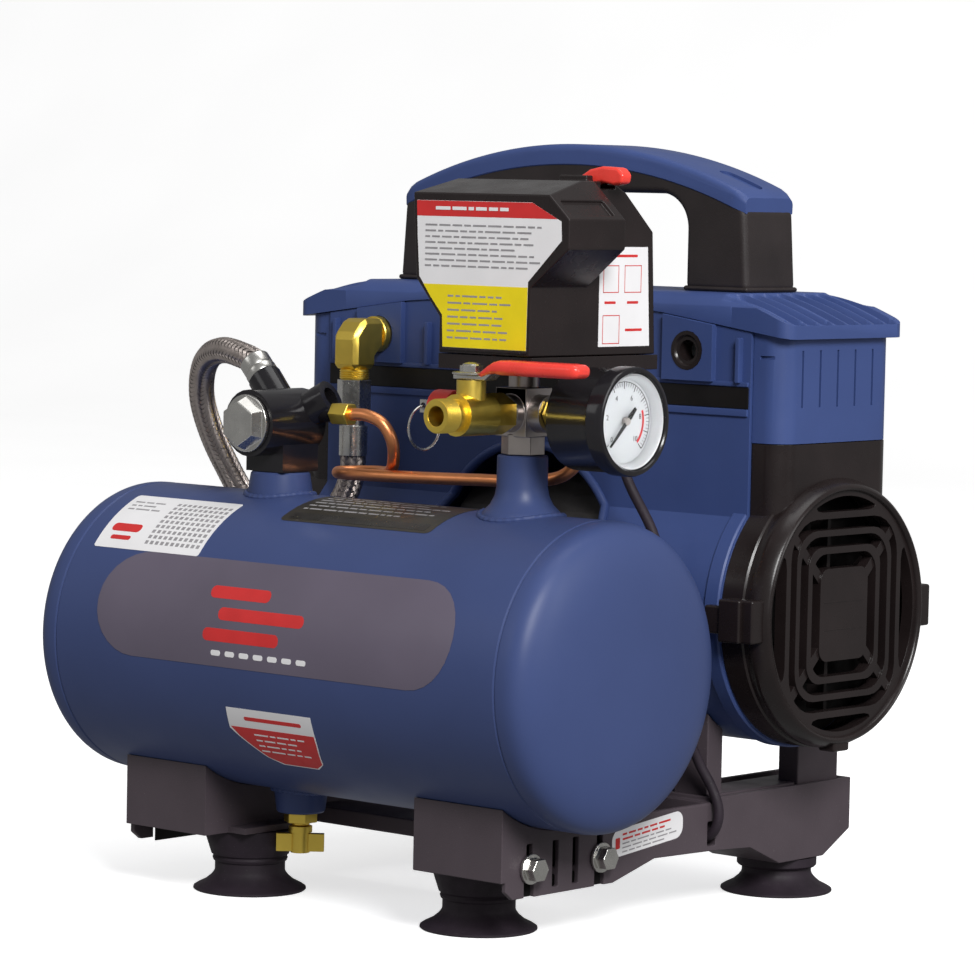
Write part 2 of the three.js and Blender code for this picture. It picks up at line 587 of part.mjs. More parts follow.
piece('hose_nut', joined(
  bar([-PORT_X, ELBOW_Y, ELBOW_FOOT - GAP], [-PORT_X, ELBOW_Y, 226], 8.6, 6),
  bar([-PORT_X, ELBOW_Y, 227], [-PORT_X, ELBOW_Y, 217], 5.6, 16),
  bar([-PORT_X, ELBOW_Y, 218], [-PORT_X, ELBOW_Y, HOSE_TOP], 7, 16),
), 'nickel');

const hosePoints = [
  [-98, 92, 202.5], [-98, 92, 196], [-101, 90.5, 184], [-110, 87, 172], [-124, 82, 167],
  [-138, 74, 171], [-147, 65, 182], [-150.5, 56, 197], [-151, 46, 213], [-148, 36, 230],
  [-140, 28, 244], [-128, 21, 252.5], [-112, 14.5, 256], [-97, 10.5, 254.5], [-85.5, 8.8, 251.3],
  [-79.1, 8.15, 245.1],
];
piece('discharge_hose', tube(hosePoints, 6.5, 8, 32), 'braid');

const CHECK_Z = 224.5;
const CHECK_FACE = -22;
function checkValveBody() {
  const centre = [CHECK_X, 6, CHECK_Z];
  return cut(joined(
    bar([CHECK_X, CHECK_FACE, CHECK_Z], [CHECK_X, 14, CHECK_Z], 15.8, 24),
    box(CHECK_X - 12, CHECK_X + 12, -11, 13, CHECK_TOP + GAP, CHECK_Z),
    bar(centre, [-78.6, 8.1, 244.6], 8.2, 14),
    bar(centre, [-37.5, 11, 237], 8.6, 14),
    bar([CHECK_X, 9, 229.5], [-33, 9, 229.5], 4.5, 16),
  ),
  bar([CHECK_X, CHECK_FACE - 1, CHECK_Z], [CHECK_X, 2, CHECK_Z], 11, 20),
  bar([-45, 9.6, 233.4], [-36, 11.6, 237.9], 5, 12));
}
piece('check_valve_body', checkValveBody(), 'black');
piece('check_valve_cap', joined(
  bar([CHECK_X, CHECK_FACE - GAP, CHECK_Z], [CHECK_X, CHECK_FACE - 2.5, CHECK_Z], 13.6, 28),
  bar([CHECK_X, CHECK_FACE - 2, CHECK_Z], [CHECK_X, CHECK_FACE - 8, CHECK_Z], 13, 6, 10.5),
  bar([CHECK_X, CHECK_FACE - 1, CHECK_Z], [CHECK_X, CHECK_FACE + 8, CHECK_Z], 10.6, 20),
), 'nickel');
piece('check_valve_poppet', joined(
  bar([CHECK_X, 1.5, CHECK_Z], [CHECK_X, -2.5, CHECK_Z], 9, 16),
  bar([CHECK_X, -2, CHECK_Z], [CHECK_X, -9.5, CHECK_Z], 3, 10),
), 'white');

// ---------- unloader line ----------
const unloaderPoints = [
  [-26, 9, 229.5], [-13, 10, 229.5], [-5, 12, 226], [-1.5, 15, 218], [-5, 20, 208],
  [-14, 27, 202.5], [-27, 32, 201.5], [-38, 29, 201], [-42, 22, 200.8], [-34, 17, 200.8],
  [-18, 17, 201], [10, 19, 201.5], [45, 21.5, 202.5], [80, 24, 204], [95, 27, 208],
  [102, 32, 219], [103, 37, 235], [103, 40, 254.5],
];
piece('unloader_tube', joined(
  tube(unloaderPoints, 2.9, 6, 52),
  bar([-33 + GAP, 9, 229.5], [-22, 9, 229.5], 5.6, 6),
), 'copper');

// ---------- outlet cross with its fittings ----------
const CROSS_TOP = 251;
piece('outlet_cross', joined(
  bar([NECK_X, 0, NECK_TOP + GAP], [NECK_X, 0, 227], 10, 6),
  box(NECK_X - 9, NECK_X + 9, -9, 9, 226, CROSS_TOP - 3),
  bar([NECK_X, 0, CROSS_TOP - 4], [NECK_X, 0, CROSS_TOP + 4.5], 7, 16),
  bar([NECK_X - 16, 0, MANIFOLD_Z], [NECK_X + 16, 0, MANIFOLD_Z], 8.5, 20),
  bar([NECK_X, -14, MANIFOLD_Z], [NECK_X, 4, MANIFOLD_Z], 8.5, 20),
), 'nickel');

const STEM_Y = -36;
const BALL_R = 6.2;
const VALVE_TOP = 252;
piece('ball_valve_body', cut(joined(
  bar([NECK_X, -14 - GAP, MANIFOLD_Z], [NECK_X, -27, MANIFOLD_Z], 9.4, 6),
  bar([NECK_X, -26, MANIFOLD_Z], [NECK_X, -46, MANIFOLD_Z], 9.4, 20),
  bar([NECK_X, -45, MANIFOLD_Z], [NECK_X, -59, MANIFOLD_Z], 7.2, 20),
  bar([NECK_X, STEM_Y, MANIFOLD_Z], [NECK_X, STEM_Y, VALVE_TOP], 6.6, 20),
),
bar([NECK_X, STEM_Y - BALL_R - 0.4, MANIFOLD_Z], [NECK_X, -12, MANIFOLD_Z], BALL_R + 0.3, 20),
bar([NECK_X, -60, MANIFOLD_Z], [NECK_X, -20, MANIFOLD_Z], 4.6, 16),
bar([NECK_X, STEM_Y, MANIFOLD_Z], [NECK_X, STEM_Y, VALVE_TOP + 1], 3.2, 16),
), 'brass');

piece('valve_ball', joined(
  new THREE.SphereGeometry(BALL_R, 16, 10).rotateX(Math.PI / 2).translate(NECK_X, STEM_Y, MANIFOLD_Z),
  bar([NECK_X, STEM_Y, MANIFOLD_Z + 4], [NECK_X, STEM_Y, VALVE_TOP + 4.6], 2.8, 12),
  bar([NECK_X, STEM_Y, VALVE_TOP + 2.6], [NECK_X, STEM_Y, VALVE_TOP + 6.5], 5.4, 6),
).subtract(solid(bar([NECK_X - 9, STEM_Y, MANIFOLD_Z], [NECK_X + 9, STEM_Y, MANIFOLD_Z], 3.4, 12))),
'steel');

const LEVER_TIP = 157;
const LEVER_HALF = 6;
function leverPlate() {
  const low = VALVE_TOP + GAP;
  const high = low + 2;
  const plate = pushedY([
    [NECK_X - 7.5, low], [NECK_X + 11, low], [NECK_X + 17, low + 5], [LEVER_TIP - 5, low + 5],
    [LEVER_TIP - 5, high + 5], [NECK_X + 16, high + 5], [NECK_X + 10, high], [NECK_X - 7.5, high],
  ], STEM_Y - 4, STEM_Y + 4);
  return cut(solid(plate), bar([NECK_X, STEM_Y, 240], [NECK_X, STEM_Y, 270], 3.1, 12));
}
piece('valve_lever', leverPlate(), 'steel');

function leverSleeve() {
  const middle = VALVE_TOP + GAP + 6;
  const cover = box(NECK_X + 18, LEVER_TIP, STEM_Y - LEVER_HALF, STEM_Y + LEVER_HALF,
    middle - 3.2, middle + 3.2);
  const pocket = box(NECK_X + 17, LEVER_TIP - 5 + GAP, STEM_Y - 4 - GAP, STEM_Y + 4 + GAP,
    middle - 1 - GAP, middle + 1 + GAP);
  return cut(solid(cover), pocket);
}
piece('valve_lever_sleeve', leverSleeve(), 'red');

const SAFETY_END = 52;
piece('safety_valve_body', cut(joined(
  bar([NECK_X - 16 - GAP, 0, MANIFOLD_Z], [SAFETY_END + 14, 0, MANIFOLD_Z], 8, 6),
  bar([SAFETY_END + 15, 0, MANIFOLD_Z], [SAFETY_END, 0, MANIFOLD_Z], 6.4, 18),
), bar([SAFETY_END - 1, 0, MANIFOLD_Z], [SAFETY_END + 12, 0, MANIFOLD_Z], 2.4, 12)), 'brass');
piece('safety_valve_cap', cut(
  solid(bar([SAFETY_END - GAP, 0, MANIFOLD_Z], [SAFETY_END - 12, 0, MANIFOLD_Z], 8.2, 20)),
  bar([SAFETY_END + 1, 0, MANIFOLD_Z], [SAFETY_END - 13, 0, MANIFOLD_Z], 2.4, 12),
), 'red');
const PIN_END = SAFETY_END - 20;
piece('safety_valve_pin', cut(joined(
  bar([SAFETY_END + 6, 0, MANIFOLD_Z], [PIN_END + 4, 0, MANIFOLD_Z], 2, 12),
  box(PIN_END - 2, PIN_END + 5, -1, 1, MANIFOLD_Z - 3, MANIFOLD_Z + 3),
), bar([PIN_END, -2, MANIFOLD_Z], [PIN_END, 2, MANIFOLD_Z], 1.7, 12)), 'steel');
const RING_R = 10;
piece('safety_ring', new THREE.TorusGeometry(RING_R, 0.7, 5, 20).rotateY(Math.PI / 2)
  .translate(PIN_END, 0, MANIFOLD_Z - RING_R), 'steel');

// ---------- pressure gauge ----------
const GAUGE_BACK = 122;
const GAUGE_FACE = 157;
const GAUGE_Z = MANIFOLD_Z - 0.9;
const DIAL_X = 150;
piece('gauge_case', cut(joined(
  turned([[0, GAUGE_BACK], [20, GAUGE_BACK], [GAUGE_R - 1.2, GAUGE_BACK + 3], [GAUGE_R - 1.2, 148],
    [GAUGE_R, 150], [GAUGE_R, GAUGE_FACE], [0, GAUGE_FACE]], [0, 0, GAUGE_Z], [1, 0, 0], 36),
  bar([NECK_X + 16 + GAP, 0, MANIFOLD_Z], [GAUGE_BACK + 1, 0, MANIFOLD_Z], 6.8, 6),
), turned([[0, DIAL_X - 1], [GAUGE_R - 3, DIAL_X - 1], [GAUGE_R - 2.4, GAUGE_FACE + 1], [0, GAUGE_FACE + 1]],
  [0, 0, GAUGE_Z], [1, 0, 0], 36)), 'black');
piece('gauge_dial', bar([DIAL_X - 1 + GAP, 0, GAUGE_Z], [DIAL_X, 0, GAUGE_Z], GAUGE_R - 3.4, 32), 'white');
piece('gauge_lens', bar([GAUGE_FACE - 2.6, 0, GAUGE_Z], [GAUGE_FACE - 1, 0, GAUGE_Z], GAUGE_R - 3.1, 32),
  'lens');

function gaugeNeedle() {
  const rest = THREE.MathUtils.degToRad(-45);
  const pointer = box(0, 0.8, -0.9, 0.9, -16, 7).rotateX(rest);
  const hub = bar([-1.2, 0, 0], [1.6, 0, 0], 2.4, 12);
  return geometryOf(joined(pointer, hub)).translate(DIAL_X + 1.6, 0, GAUGE_Z);
}
piece('gauge_needle', gaugeNeedle(), 'black');

// ---------- pressure switch ----------
const SWITCH_FRONT = -28;
const SWITCH_LOW = 256;
const SWITCH_SPLIT = 263;
const SWITCH_MIN_X = 65;
const SWITCH_MAX_X = 118.5;
piece('switch_base', joined(
  box(SWITCH_MIN_X - 1, SWITCH_MAX_X + 1, SWITCH_FRONT + 1, SWITCH_REAR + 1,
    SWITCH_LOW, SWITCH_SPLIT - GAP),
  bar([GLAND_X, SWITCH_REAR, GLAND_Z], [GLAND_X, SWITCH_REAR + 9, GLAND_Z], 5, 12),
), 'black');

function switchCover() {
  const left = [[SWITCH_MIN_X, SWITCH_SPLIT], [SWITCH_MIN_X, 279], [50.5, 296], [47.5, 344]];
  const visor = pushedY([
    ...left.slice().reverse(), [SWITCH_MAX_X, SWITCH_SPLIT], [SWITCH_MAX_X, 293.5], [140, 311],
    [140, 324], [118, 344],
  ], SWITCH_FRONT, 11);
  const rear = pushedY([
    ...left.slice().reverse(), [SWITCH_MAX_X, SWITCH_SPLIT], [SWITCH_MAX_X, 344],
  ], 10, SWITCH_REAR);
  const side = pushedX([
    [SWITCH_FRONT, SWITCH_SPLIT - 1], [SWITCH_REAR, SWITCH_SPLIT - 1], [57, 318.5], [37, 336],
    [26, 341], [2, 341], [SWITCH_FRONT, 334.5],
  ], 40, 150);
  const pivot = box(98, 114, 14, 34, 338, 343.5);
  const knobWay = box(101, 125, 19, 29, 337.4, 350);
  return cut(joined(visor, rear).intersect(solid(side)).add(solid(pivot)), knobWay);
}
piece('switch_cover', switchCover(), 'black');

const KNOB_AXIS = [106, 24, 341];
function switchKnob() {
  const paddle = pushedY([
    [-3, -2], [4, -2], [11.3, -0.5], [18.3, -1.8], [23, -0.9], [23.8, 3.1], [20.7, 6.2],
    [11.3, 6.7], [4.2, 5.3], [-2.2, 1.8],
  ], -3.6, 3.6);
  return geometryOf(solid(paddle)).translate(...KNOB_AXIS);
}
piece('switch_knob', switchKnob(), 'red');

// ---------- lead from the switch to the motor ----------
const leadPoints = [
  [GLAND_X, 69.5, GLAND_Z], [GLAND_X, 74, 259.2], [79, 79.5, 253], [78, 82, 240], [82.5, 84, 207],
  [101, 84.5, 177], [109, 85.5, 150], [110, 89, 118], [111, 98, 88], [114, 106, 70], [119, 109, 59.5],
  [122.6, 110, 50], [122.3, 110, 42.5], [118.5, 110, 36.8], [111, 110, 35], [104, 110, 35],
];
piece('motor_lead', tube(leadPoints, 2.4, 6, 36), 'black');

export default compressor;
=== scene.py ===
"""Looks of a portable twin-cylinder air compressor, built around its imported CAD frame.

+X runs along the tank towards the gauge, -Y towards the tank side, +Z up. Shapes are in millimetres in the
part's own frame and become metres when a mesh is made. Lights and camera are placed in metres.
"""
import json
import math
import random

import bmesh
import bpy
import numpy as np
from mathutils import Matrix, Vector


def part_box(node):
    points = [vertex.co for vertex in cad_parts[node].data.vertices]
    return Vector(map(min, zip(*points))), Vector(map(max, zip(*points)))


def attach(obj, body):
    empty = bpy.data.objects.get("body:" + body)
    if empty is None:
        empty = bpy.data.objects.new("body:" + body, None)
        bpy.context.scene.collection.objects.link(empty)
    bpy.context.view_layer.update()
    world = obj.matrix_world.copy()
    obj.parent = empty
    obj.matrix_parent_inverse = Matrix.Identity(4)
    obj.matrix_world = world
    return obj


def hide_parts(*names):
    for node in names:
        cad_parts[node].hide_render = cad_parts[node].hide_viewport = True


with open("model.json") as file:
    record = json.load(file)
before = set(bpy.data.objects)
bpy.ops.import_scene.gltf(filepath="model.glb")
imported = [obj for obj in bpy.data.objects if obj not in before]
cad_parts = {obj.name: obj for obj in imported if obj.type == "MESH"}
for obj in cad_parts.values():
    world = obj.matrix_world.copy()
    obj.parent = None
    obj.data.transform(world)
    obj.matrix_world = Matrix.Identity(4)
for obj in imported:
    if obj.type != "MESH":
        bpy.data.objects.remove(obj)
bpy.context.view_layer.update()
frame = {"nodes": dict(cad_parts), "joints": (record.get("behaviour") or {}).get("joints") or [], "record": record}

MM = 0.001
RECORD = frame["record"]
BODY = {node: body for body, nodes in RECORD["behaviour"]["bodies"].items() for node in nodes}
SLOT = {part["node"]: part["material_slot"] for part in RECORD["subparts"]}
PIVOT = {joint["name"]: Vector(joint.get("pos_m", (0, 0, 0))) / MM for joint in frame["joints"]}
SIDES = (("left", -1), ("right", 1))


def span(side, near, far):
    """Two distances from the middle, as the lower and higher X on one side."""
    return sorted((side * near, side * far))


def extent(node):
    """Lowest and highest corner of a CAD node, in millimetres."""
    low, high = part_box(node)
    return low / MM, high / MM


# ---------- places taken from the frame ----------
tank_low, tank_high = extent("tank_shell")
TANK_R = (tank_high.y - tank_low.y) / 2
TANK_Y = (tank_high.y + tank_low.y) / 2
SHAFT_ABOVE_TANK = 20
TANK_Z = PIVOT["rotor_spin"].z - SHAFT_ABOVE_TANK
TANK_END = tank_high.x
CAP_DEPTH = 20
CAP_POWER = 3.2
NECK_X = (extent("outlet_cross")[0].x + extent("outlet_cross")[1].x) / 2
CHECK_X = (extent("check_valve_cap")[0].x + extent("check_valve_cap")[1].x) / 2
DRAIN_X = PIVOT["drain_turn"].x
PUMP_Y = PIVOT["rotor_spin"].y
SHAFT_Z = PIVOT["rotor_spin"].z
housing_low, housing_high = extent("motor_housing")
HOUSING_X = housing_high.x
HOUSING_HALF_Y = 45
END_HALF_Y = 43.5
DRUM_R = PUMP_Y - housing_low.y
lid_low, lid_high = extent("lid")
MANIFOLD_Z = PIVOT["outlet_turn"].z
GAUGE_Z = PIVOT["needle_turn"].z
STEM_Y = PIVOT["outlet_turn"].y


# ---------- shapes: (vertices, faces) in millimetres ----------
def lathe(profile, base, direction, sides=96, closed=False):
    """Body of revolution; profile points are (radius, distance along the direction)."""
    axis = Vector(direction).normalized()
    first = axis.orthogonal().normalized()
    second = axis.cross(first)
    verts, rings, faces = [], [], []
    for radius, along in profile:
        centre = Vector(base) + axis * along
        if radius < 1e-6:
            rings.append([len(verts)] * sides)
            verts.append(centre)
            continue
        rings.append(list(range(len(verts), len(verts) + sides)))
        for i in range(sides):
            angle = 2 * math.pi * i / sides
            verts.append(centre + (first * math.cos(angle) + second * math.sin(angle)) * radius)
    pairs = list(zip(rings, rings[1:]))
    if closed:
        pairs.append((rings[-1], rings[0]))
    for low, high in pairs:
        for i in range(sides):
            j = (i + 1) % sides
            corners = [low[i], low[j], high[j], high[i]]
            face = [c for n, c in enumerate(corners) if c != corners[n - 1]]
            if len(face) > 2:
                faces.append(face)
    return verts, faces


def at_level(outline, axis, level):
    """An outline in the other two axes (in X, Y, Z order), as points at a level along axis."""
    index = "xyz".index(axis)
    points = []
    for pair in outline:
        point = list(pair)
        point.insert(index, level)
        points.append(Vector(point))
    return points


def between(low, high):
    """A solid between two outlines of equally many points."""
    n = len(low)
    faces = [list(range(n)), list(range(2 * n - 1, n - 1, -1))]
    faces += [[i, (i + 1) % n, n + (i + 1) % n, n + i] for i in range(n)]
    return low + high, faces


def prism(outline, axis, low, high):
    """An outline in the other two axes, pushed along axis from low to high."""
    return between(at_level(outline, axis, low), at_level(outline, axis, high))


def block(x0, x1, y0, y1, z0, z1):
    return prism([(x0, y0), (x1, y0), (x1, y1), (x0, y1)], "z", z0, z1)


def arc(cx, cy, radius, start, end, steps):
    """Points on an arc, angles in degrees."""
    angles = [math.radians(start + (end - start) * i / steps) for i in range(steps + 1)]
    return [(cx + radius * math.cos(a), cy + radius * math.sin(a)) for a in angles]


def rounded(cx, cy, half_x, half_y, radius, steps=6):
    corners = [(1, 1, 0), (-1, 1, 90), (-1, -1, 180), (1, -1, 270)]
    return [point for sx, sy, start in corners
            for point in arc(cx + sx * (half_x - radius), cy + sy * (half_y - radius),
                             radius, start, start + 90, steps)]


def circle(radius, sides):
    return arc(0, 0, radius, 0, 360 - 360 / sides, sides - 1)


def smooth_path(points, step):
    """Points about step apart on a centripetal Catmull-Rom curve through the points."""
    knots = [np.array(p, float) for p in points]
    knots = [2 * knots[0] - knots[1], *knots, 2 * knots[-1] - knots[-2]]
    path = []
    for p0, p1, p2, p3 in zip(knots, knots[1:], knots[2:], knots[3:]):
        gaps = [max(np.linalg.norm(b - a) ** 0.5, 1e-6) for a, b in ((p0, p1), (p1, p2), (p2, p3))]
        t1 = (p1 - p0) / gaps[0] - (p2 - p0) / (gaps[0] + gaps[1]) + (p2 - p1) / gaps[1]
        t2 = (p2 - p1) / gaps[1] - (p3 - p1) / (gaps[1] + gaps[2]) + (p3 - p2) / gaps[2]
        t1, t2 = t1 * gaps[1], t2 * gaps[1]
        count = max(1, round(np.linalg.norm(p2 - p1) / step))
        for i in range(count):
            s = i / count
            path.append(p1 + s * t1 + s * s * (3 * (p2 - p1) - 2 * t1 - t2)
                        + s ** 3 * (2 * (p1 - p2) + t1 + t2))
    return [Vector(p) for p in path] + [Vector(points[-1])]


def frames_along(path, closed=False):
    """A tangent and two crosswise directions at each point of the path, without twist."""
    n = len(path)
    result = []
    side = None
    for i in range(n):
        ahead = path[(i + 1) % n] if closed else path[min(i + 1, n - 1)]
        behind = path[i - 1] if closed or i else path[0]
        tangent = (ahead - behind).normalized()
        side = tangent.orthogonal() if side is None else side - tangent * side.dot(tangent)
        side = side.normalized()
        result.append((tangent, side, tangent.cross(side)))
    return result


def loft(rings, closed=False):
    """A solid through rings of equally many points, capped, or closed on itself."""
    m = len(rings[0])
    verts = [Vector(point) for ring in rings for point in ring]
    faces = []
    for i in range(len(rings) if closed else len(rings) - 1):
        a, b = i * m, (i + 1) % len(rings) * m
        faces += [[a + k, a + (k + 1) % m, b + (k + 1) % m, b + k] for k in range(m)]
    if not closed:
        faces += [list(range(m)), list(range(len(verts) - 1, len(verts) - 1 - m, -1))]
    return verts, faces


def sweep(path, section, closed=False, sizes=None):
    """A closed section carried along a path; sizes scales it at each point."""
    rings = []
    for i, (point, (_, side, up)) in enumerate(zip(path, frames_along(path, closed))):
        size = sizes[i] if sizes else 1
        rings.append([point + (side * a + up * b) * size for a, b in section])
    return loft(rings, closed)


def ring_prism(outer, inner, axis, low, high):
    """The space between two outlines with equally many points, pushed along axis."""
    levels = ((outer, low), (outer, high), (inner, high), (inner, low))
    return loft([at_level(outline, axis, level) for outline, level in levels], closed=True)


def together(*shapes):
    verts, faces = [], []
    for shape_verts, shape_faces in shapes:
        faces += [[i + len(verts) for i in face] for face in shape_faces]
        verts += shape_verts
    return verts, faces


# ---------- objects ----------
def placed(name, data):
    """A new object in the scene."""
    obj = bpy.data.objects.new(name, data)
    bpy.context.scene.collection.objects.link(obj)
    return obj


def clean(mesh, merge=0.0, flat=0.0, outward=False):
    """Joins vertices closer than merge metres and faces within flat degrees, and turns normals outward."""
    edit = bmesh.new()
    edit.from_mesh(mesh)
    if merge:
        bmesh.ops.remove_doubles(edit, verts=edit.verts, dist=merge)
    if flat:
        bmesh.ops.dissolve_limit(edit, angle_limit=math.radians(flat), verts=edit.verts, edges=edit.edges)
    if outward:
        bmesh.ops.recalc_face_normals(edit, faces=edit.faces)
    edit.to_mesh(mesh)
    edit.free()


def settle(obj):
    """Turns the object's modifiers into mesh."""
    view = bpy.context.evaluated_depsgraph_get()
    mesh = bpy.data.meshes.new_from_object(obj.evaluated_get(view))
    obj.modifiers.clear()
    obj.data = mesh


def shade(obj, angle=32):
    obj.data.polygons.foreach_set("use_smooth", [True] * len(obj.data.polygons))
    obj.data.set_sharp_from_angle(angle=math.radians(angle))


def round_edges(obj, width, segments=2, angle=28):
    bevel = obj.modifiers.new("bevel", "BEVEL")
    bevel.width = width * MM
    bevel.segments = segments
    bevel.limit_method = "ANGLE"
    bevel.angle_limit = math.radians(angle)
    bevel.miter_outer = "MITER_ARC"
    settle(obj)
    shade(obj, 40)
    even = obj.modifiers.new("normals", "WEIGHTED_NORMAL")
    even.keep_sharp = True
    settle(obj)


def make(name, shape, look, bevel=0.0, segments=2, angle=28):
    """A new object from a shape, with the look of that name and its edges rounded."""
    verts, faces = shape
    mesh = bpy.data.meshes.new(name)
    mesh.from_pydata([Vector(v) * MM for v in verts], [], faces)
    clean(mesh, merge=1e-7, outward=True)
    obj = placed(name, mesh)
    mesh.materials.append(LOOKS[look])
    if bevel:
        round_edges(obj, bevel, segments, angle)
    else:
        shade(obj)
    return obj


def combine(obj, shape, operation):
    """Joins a shape to the object, or cuts it away."""
    look = next(name for name, material in LOOKS.items() if material == obj.data.materials[0])
    tool = make("tool", shape, look)
    change = obj.modifiers.new("combine", "BOOLEAN")
    change.operation = operation
    change.solver = "EXACT"
    change.object = tool
    settle(obj)
    bpy.data.objects.remove(tool)
    clean(obj.data, flat=0.5)


def refined(node, bevel, segments=2, cuts=()):
    """A copy of a CAD node with its flat faces whole and its edges rounded, standing for the node."""
    mesh = frame["nodes"][node].data.copy()
    clean(mesh, merge=2e-6, flat=0.8)
    mesh.materials.clear()
    mesh.materials.append(LOOKS[SLOT[node]])
    obj = placed(node + "_fine", mesh)
    for shape in cuts:
        combine(obj, shape, "DIFFERENCE")
    round_edges(obj, bevel, segments)
    stands_for(obj, node)


def stands_for(obj, *nodes):
    """The object replaces these CAD nodes and moves with them."""
    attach(obj, BODY[nodes[0]])
    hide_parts(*nodes)


def goes_with(obj, node):
    """The object is a detail that moves with a CAD node."""
    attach(obj, BODY[node])


# ---------- materials ----------
def tinted(color, factor):
    return [min(1.0, c * factor) for c in color[:3]] + [1.0]


class Look:
    """A procedural material being put together."""

    def __init__(self, name, metallic=0.0):
        self.material = bpy.data.materials.new(name)
        self.material.use_nodes = True
        self.tree = self.material.node_tree
        self.shader = self.tree.nodes["Principled BSDF"]
        self.shader.inputs["Metallic"].default_value = metallic
        self.place = self.node("ShaderNodeTexCoord").outputs["Object"]

    def node(self, kind, **settings):
        made = self.tree.nodes.new(kind)
        for name, value in settings.items():
            setattr(made, name, value)
        return made

    def link(self, source, target):
        self.tree.links.new(source, target)

    def noise(self, size, detail=3.0, stretch=(1, 1, 1)):
        """Noise with grains about size millimetres across, shorter where stretch is larger."""
        scaled = self.node("ShaderNodeVectorMath", operation="MULTIPLY")
        self.link(self.place, scaled.inputs[0])
        scaled.inputs[1].default_value = [s / (size * MM) for s in stretch]
        noise = self.node("ShaderNodeTexNoise")
        noise.inputs["Scale"].default_value = 1.0
        noise.inputs["Detail"].default_value = detail
        self.link(scaled.outputs[0], noise.inputs["Vector"])
        return noise.outputs["Fac"]

    def ranged(self, value, low, high, to_low, to_high):
        node = self.node("ShaderNodeMapRange")
        self.link(value, node.inputs["Value"])
        for name, number in (("From Min", low), ("From Max", high), ("To Min", to_low), ("To Max", to_high)):
            node.inputs[name].default_value = number
        return node.outputs["Result"]

    def mixed(self, factor, first, second):
        node = self.node("ShaderNodeMix", data_type="RGBA")
        self.link(factor, node.inputs["Factor"])
        for socket, value in (("A", first), ("B", second)):
            target = [s for s in node.inputs if s.name == socket and s.type == "RGBA"][0]
            if isinstance(value, (list, tuple)):
                target.default_value = value
            else:
                self.link(value, target)
        return [s for s in node.outputs if s.type == "RGBA"][0]

    def bump(self, height, depth):
        """Relief of the height value, depth millimetres deep; reliefs add up."""
        node = self.node("ShaderNodeBump")
        node.inputs["Strength"].default_value = 1.0
        node.inputs["Distance"].default_value = depth * MM
        self.link(height, node.inputs["Height"])
        normal = self.shader.inputs["Normal"]
        if normal.links:
            self.link(normal.links[0].from_socket, node.inputs["Normal"])
        self.link(node.outputs["Normal"], normal)


LOOKS = {}


def finish(name, color, roughness, metallic=0.0, shade_by=0.10, patch=16.0, rough_by=0.07,
           grain=0.8, relief=0.0, stretch=(1, 1, 1), specks=0.0, coat=0.0, specular=0.3):
    """Adds a surface with drifting tone, uneven gloss, a fine relief and light specks of dust or wear."""
    look = Look(name, metallic)
    tone = look.ranged(look.noise(patch, 4.0), 0.3, 0.7, 0.0, 1.0)
    base = look.mixed(tone, tinted(color, 1 - shade_by), tinted(color, 1 + shade_by))
    if specks:
        dots = look.ranged(look.noise(0.9, 2.0), 0.70, 0.78, 0.0, specks)
        base = look.mixed(dots, base, tinted([0.6, 0.58, 0.55], 1))
    look.link(base, look.shader.inputs["Base Color"])
    smears = look.noise(patch * 0.4, 5.0, stretch)
    gloss = look.ranged(smears, 0.3, 0.7, max(0.03, roughness - rough_by), roughness + rough_by)
    look.link(gloss, look.shader.inputs["Roughness"])
    if relief:
        look.bump(look.noise(grain, 2.0, stretch), relief)
    look.shader.inputs["Specular IOR Level"].default_value = specular
    look.shader.inputs["Coat Weight"].default_value = coat
    look.shader.inputs["Coat Roughness"].default_value = 0.12
    LOOKS[name] = look.material


BLUE = (0.045, 0.067, 0.176)
finish("tank_paint", BLUE, 0.40, shade_by=0.05, patch=60, grain=1.6, relief=0.02, rough_by=0.05,
       specular=0.24)
finish("blue_plastic", (0.042, 0.070, 0.205), 0.44, shade_by=0.06, patch=45, grain=0.5, relief=0.03,
       specks=0.06)
finish("black_gloss", (0.015, 0.0105, 0.0105), 0.26, shade_by=0.2, patch=30, grain=0.7, relief=0.01,
       rough_by=0.05, specks=0.03, specular=0.34)
finish("black_matte", (0.022, 0.017, 0.017), 0.50, shade_by=0.2, patch=25, grain=0.45, relief=0.08,
       specks=0.04)
finish("rail_plastic", (0.072, 0.056, 0.066), 0.52, shade_by=0.10, patch=35, grain=0.6, relief=0.06,
       specks=0.12)
finish("rubber", (0.022, 0.015, 0.022), 0.62, shade_by=0.25, patch=12, grain=0.5, relief=0.05, specks=0.10)
finish("zinc_steel", (0.60, 0.59, 0.56), 0.27, 1.0, shade_by=0.10, patch=9, grain=0.5, relief=0.003,
       rough_by=0.035)
finish("nickel", (0.44, 0.40, 0.38), 0.36, 1.0, shade_by=0.10, patch=12, grain=0.9, relief=0.004,
       rough_by=0.04)
finish("brass", (0.90, 0.66, 0.12), 0.36, 1.0, shade_by=0.06, patch=12, rough_by=0.03)
finish("copper", (0.92, 0.36, 0.15), 0.38, 1.0, shade_by=0.08, patch=14, rough_by=0.03)
finish("steel_braid", (0.50, 0.44, 0.41), 0.33, 1.0, shade_by=0.15, patch=6, grain=0.4, relief=0.003)
finish("black_enamel", (0.012, 0.011, 0.013), 0.16, shade_by=0.2, patch=18, grain=1.2, relief=0.01,
       rough_by=0.04, specular=0.4)
finish("red_vinyl", (0.82, 0.055, 0.040), 0.30, shade_by=0.08, patch=12, grain=1.0, relief=0.03, coat=0.2)
finish("red_paint", (0.80, 0.055, 0.040), 0.34, shade_by=0.08, patch=8, grain=0.5, relief=0.02)
finish("dial_white", (0.62, 0.63, 0.65), 0.45, shade_by=0.02, patch=10, rough_by=0.03)
finish("nylon", (0.82, 0.80, 0.75), 0.45, shade_by=0.03, patch=8)
